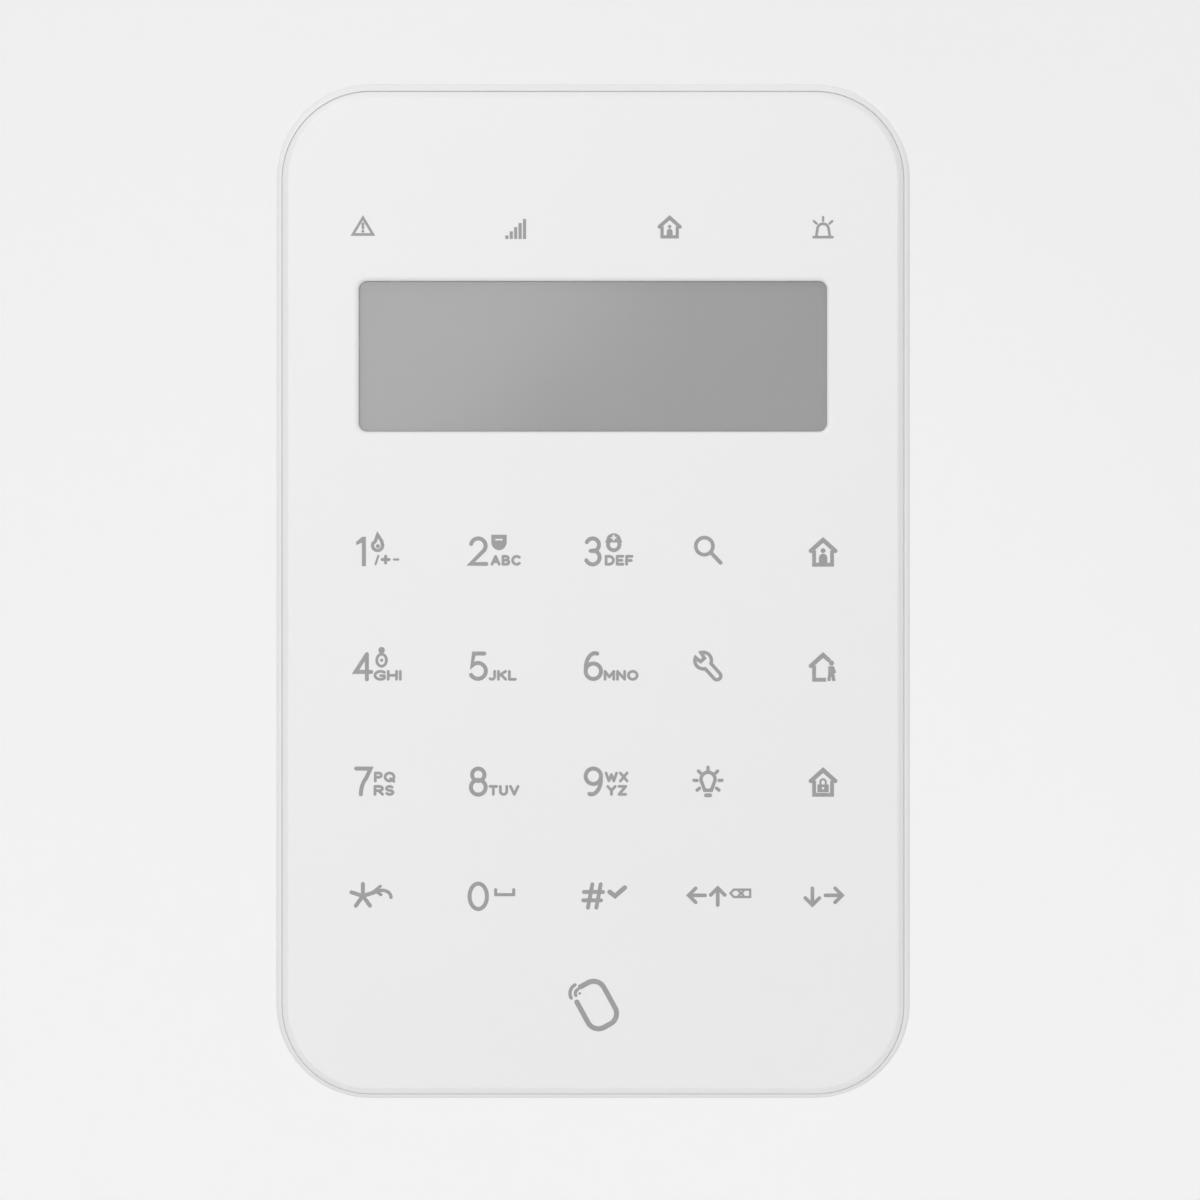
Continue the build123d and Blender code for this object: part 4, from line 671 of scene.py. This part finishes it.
def status_icons():
    """Icons over the four status lights: fault, signal, armed and alarm."""
    fault, signal, armed, alarm = [middle(f"status_light_pipe_{n}") for n in range(1, 5)]
    triangle = [line([(-1.5, -1.1), (1.5, -1.1), (0, 1.4)], STATUS_LINE, closed=True),
                line([(0, 0.5), (0, -0.15)], STATUS_LINE), disc(0, -0.62, 0.22)]
    legend("status_fault", fault, triangle)
    bar_pitch, bar_rise = 0.66, 0.62
    bars = [box(-1.65 + bar_pitch * i, -1.78, -1.17 + bar_pitch * i, -1.25 + bar_rise * i)
            for i in range(5)]
    legend("status_signal", signal, bars)
    legend("status_armed", armed, shifted(house(-1.7) + person(0, -0.75, 0.7), 0, -0.08, 0.81))
    dome = [line([(-1.0, -1.3)] + arc(0, -0.35, 0.85, 180, 0) + [(1.0, -1.3)], STATUS_LINE),
            line([(-1.4, -1.5), (1.4, -1.5)], STATUS_LINE)]
    legend("status_alarm", alarm, dome + spokes(0, -0.35, 1.3, 1.85, (-48, 0, 48), 0.36))


def tag_icon():
    """Where a tag is held: a tilted key fob, open at one corner, with radio waves in the gap."""
    half_width, half_height, corner, lean = 2.3, 3.5, 1.75, 28.7
    source_x, source_z = -1.3, 2.7
    in_x, in_z = half_width - corner, half_height - corner
    outline = ([(-0.75, half_height)]
               + arc(in_x, in_z, corner, 90, 0)
               + arc(in_x, -in_z, corner, 0, -90)
               + arc(-in_x, -in_z, corner, -90, -180)
               + [(-half_width, 1.75)])
    waves = [line(arc(source_x, source_z, radius, 90, 180), 0.5) for radius in (0.65, 1.45)]
    dot = disc(source_x, source_z, 0.2)
    x, z = middle("tag_antenna")
    legend("legend_tag", (x + 0.45 * MM, z),
           shifted([line(outline, 0.76)] + waves + [dot], 0, 0, turn=lean))


# ------------------------------------------------------------------ stage, light and camera
PALE = 0.895
SKY_LOW, SKY_HIGH = 0.07, 0.935
WALL_GLOW = 0.181
SOFTBOX_POWER, KEY_POWER = 13.8, 1.55
BACK_POWER, LEFT_POWER, SIDE_POWER = 5.4, 1.5, 1.4


def sweep():
    """A pale floor that curves up into a back wall, which glows a little as if lit from above."""
    floor_z, wall_y, bend, reach, top = -0.9, 2.2, 0.45, 3.0, 3.0
    steps = 16
    profile = [(-reach, floor_z)]
    for i in range(steps + 1):
        a = math.radians(-90 + 90 * i / steps)
        profile.append((wall_y - bend + bend * math.cos(a), floor_z + bend + bend * math.sin(a)))
    profile.append((wall_y, top))
    mesh = bmesh.new()
    rows = [[mesh.verts.new((x, y, z)) for x in (-reach, reach)] for y, z in profile]
    for a, b in zip(rows, rows[1:]):
        mesh.faces.new((a[0], a[1], b[1], b[0])).smooth = True
    data = bpy.data.meshes.new("sweep")
    mesh.to_mesh(data)
    mesh.free()
    piece = bpy.data.objects.new("sweep", data)
    bpy.context.scene.collection.objects.link(piece)
    paper = Finish("sweep_paper", (0.86, 0.86, 0.86), 0.9)
    paper.mottle(0.4, 0.004).roughen(0.02, 0.85, 0.95)
    split = paper.node("ShaderNodeSeparateXYZ")
    paper.link(paper.coords, split.inputs[0])
    glow = paper.spread(split.outputs["Z"], 0, WALL_GLOW, floor_z, floor_z + bend)
    paper.shader.inputs["Emission Color"].default_value = (1, 1, 1, 1)
    paper.link(glow, paper.shader.inputs["Emission Strength"])
    data.materials.append(paper.material)


def area_light(name, place, size, power, aim=(0, 0, 0), turn=0.0):
    """A square soft light that points from one place at another, turned about its own axis."""
    data = bpy.data.lights.new(name, "AREA")
    data.size = size
    data.energy = power
    lamp = bpy.data.objects.new(name, data)
    facing = (Vector(aim) - Vector(place)).to_track_quat("-Z", "Y")
    lamp.matrix_world = (Matrix.Translation(place) @ facing.to_matrix().to_4x4()
                         @ Matrix.Rotation(math.radians(turn), 4, "Z"))
    bpy.context.scene.collection.objects.link(lamp)


def studio_air():
    """Light from all round, faint below and strong above, in front of a pale background."""
    world = bpy.data.worlds.new("studio")
    bpy.context.scene.world = world
    world.use_nodes = True
    tree = world.node_tree
    air = tree.nodes["Background"]
    output = tree.nodes["World Output"]
    way = tree.nodes.new("ShaderNodeTexCoord")
    split = tree.nodes.new("ShaderNodeSeparateXYZ")
    sky = tree.nodes.new("ShaderNodeMapRange")
    for index, value in enumerate((-1.0, 1.0, SKY_LOW, SKY_HIGH), start=1):
        sky.inputs[index].default_value = value
    tree.links.new(way.outputs["Generated"], split.inputs[0])
    tree.links.new(split.outputs["Z"], sky.inputs[0])
    tree.links.new(sky.outputs[0], air.inputs["Strength"])
    air.inputs["Color"].default_value = (1, 1, 1, 1)
    backdrop = tree.nodes.new("ShaderNodeBackground")
    backdrop.inputs["Color"].default_value = (PALE, PALE, PALE, 1)
    path = tree.nodes.new("ShaderNodeLightPath")
    mix = tree.nodes.new("ShaderNodeMixShader")
    tree.links.new(path.outputs["Is Camera Ray"], mix.inputs[0])
    tree.links.new(air.outputs[0], mix.inputs[1])
    tree.links.new(backdrop.outputs[0], mix.inputs[2])
    tree.links.new(mix.outputs[0], output.inputs["Surface"])


def lighting():
    """A large soft light whose slanted edge mirrors in the display, a key from the upper left,
    and fills from behind and from the right that bring out the rim."""
    studio_air()
    size, distance, slant, offset = 1.5, 2.0, 46.6, 0.11
    way = Vector((-math.sin(math.radians(slant)), 0, math.cos(math.radians(slant))))
    place = way * (size / 2 + offset) + Vector((0, FACE_Y - distance, 0))
    area_light("softbox", place, size, SOFTBOX_POWER, place + Vector((0, 1, 0)), slant)
    area_light("key", (-0.62, -0.95, 0.8), 0.3, KEY_POWER)
    area_light("back_fill", (0.9, 1.3, 0.9), 0.8, BACK_POWER)
    area_light("left_fill", (-0.8, 1.0, 0.2), 0.5, LEFT_POWER)
    area_light("side_fill", (1.1, -0.15, -0.4), 0.6, SIDE_POWER)


def camera():
    """Long lens, square on to the face, with the object filling most of the height."""
    view_width, lens, sensor = 179.4 * MM, 150.0, 36.0
    centre_x, centre_z = 1.05 * MM, -1.35 * MM
    data = bpy.data.cameras.new("camera")
    data.lens = lens
    data.sensor_width = sensor
    holder = bpy.data.objects.new("camera", data)
    holder.location = (centre_x, FACE_Y - view_width * lens / sensor, centre_z)
    holder.rotation_euler = (math.radians(90), 0, 0)
    bpy.context.scene.collection.objects.link(holder)
    bpy.context.scene.camera = holder
    bpy.context.scene.view_settings.view_transform = "Standard"


# ------------------------------------------------------------------ the scene
camera()
lighting()
sweep()
casing_materials()
window_material()
display_materials()
board_materials()
battery_materials()
screw_materials()
INK = ink_material()
number_keys()
symbol_keys()
status_icons()
tag_icon()
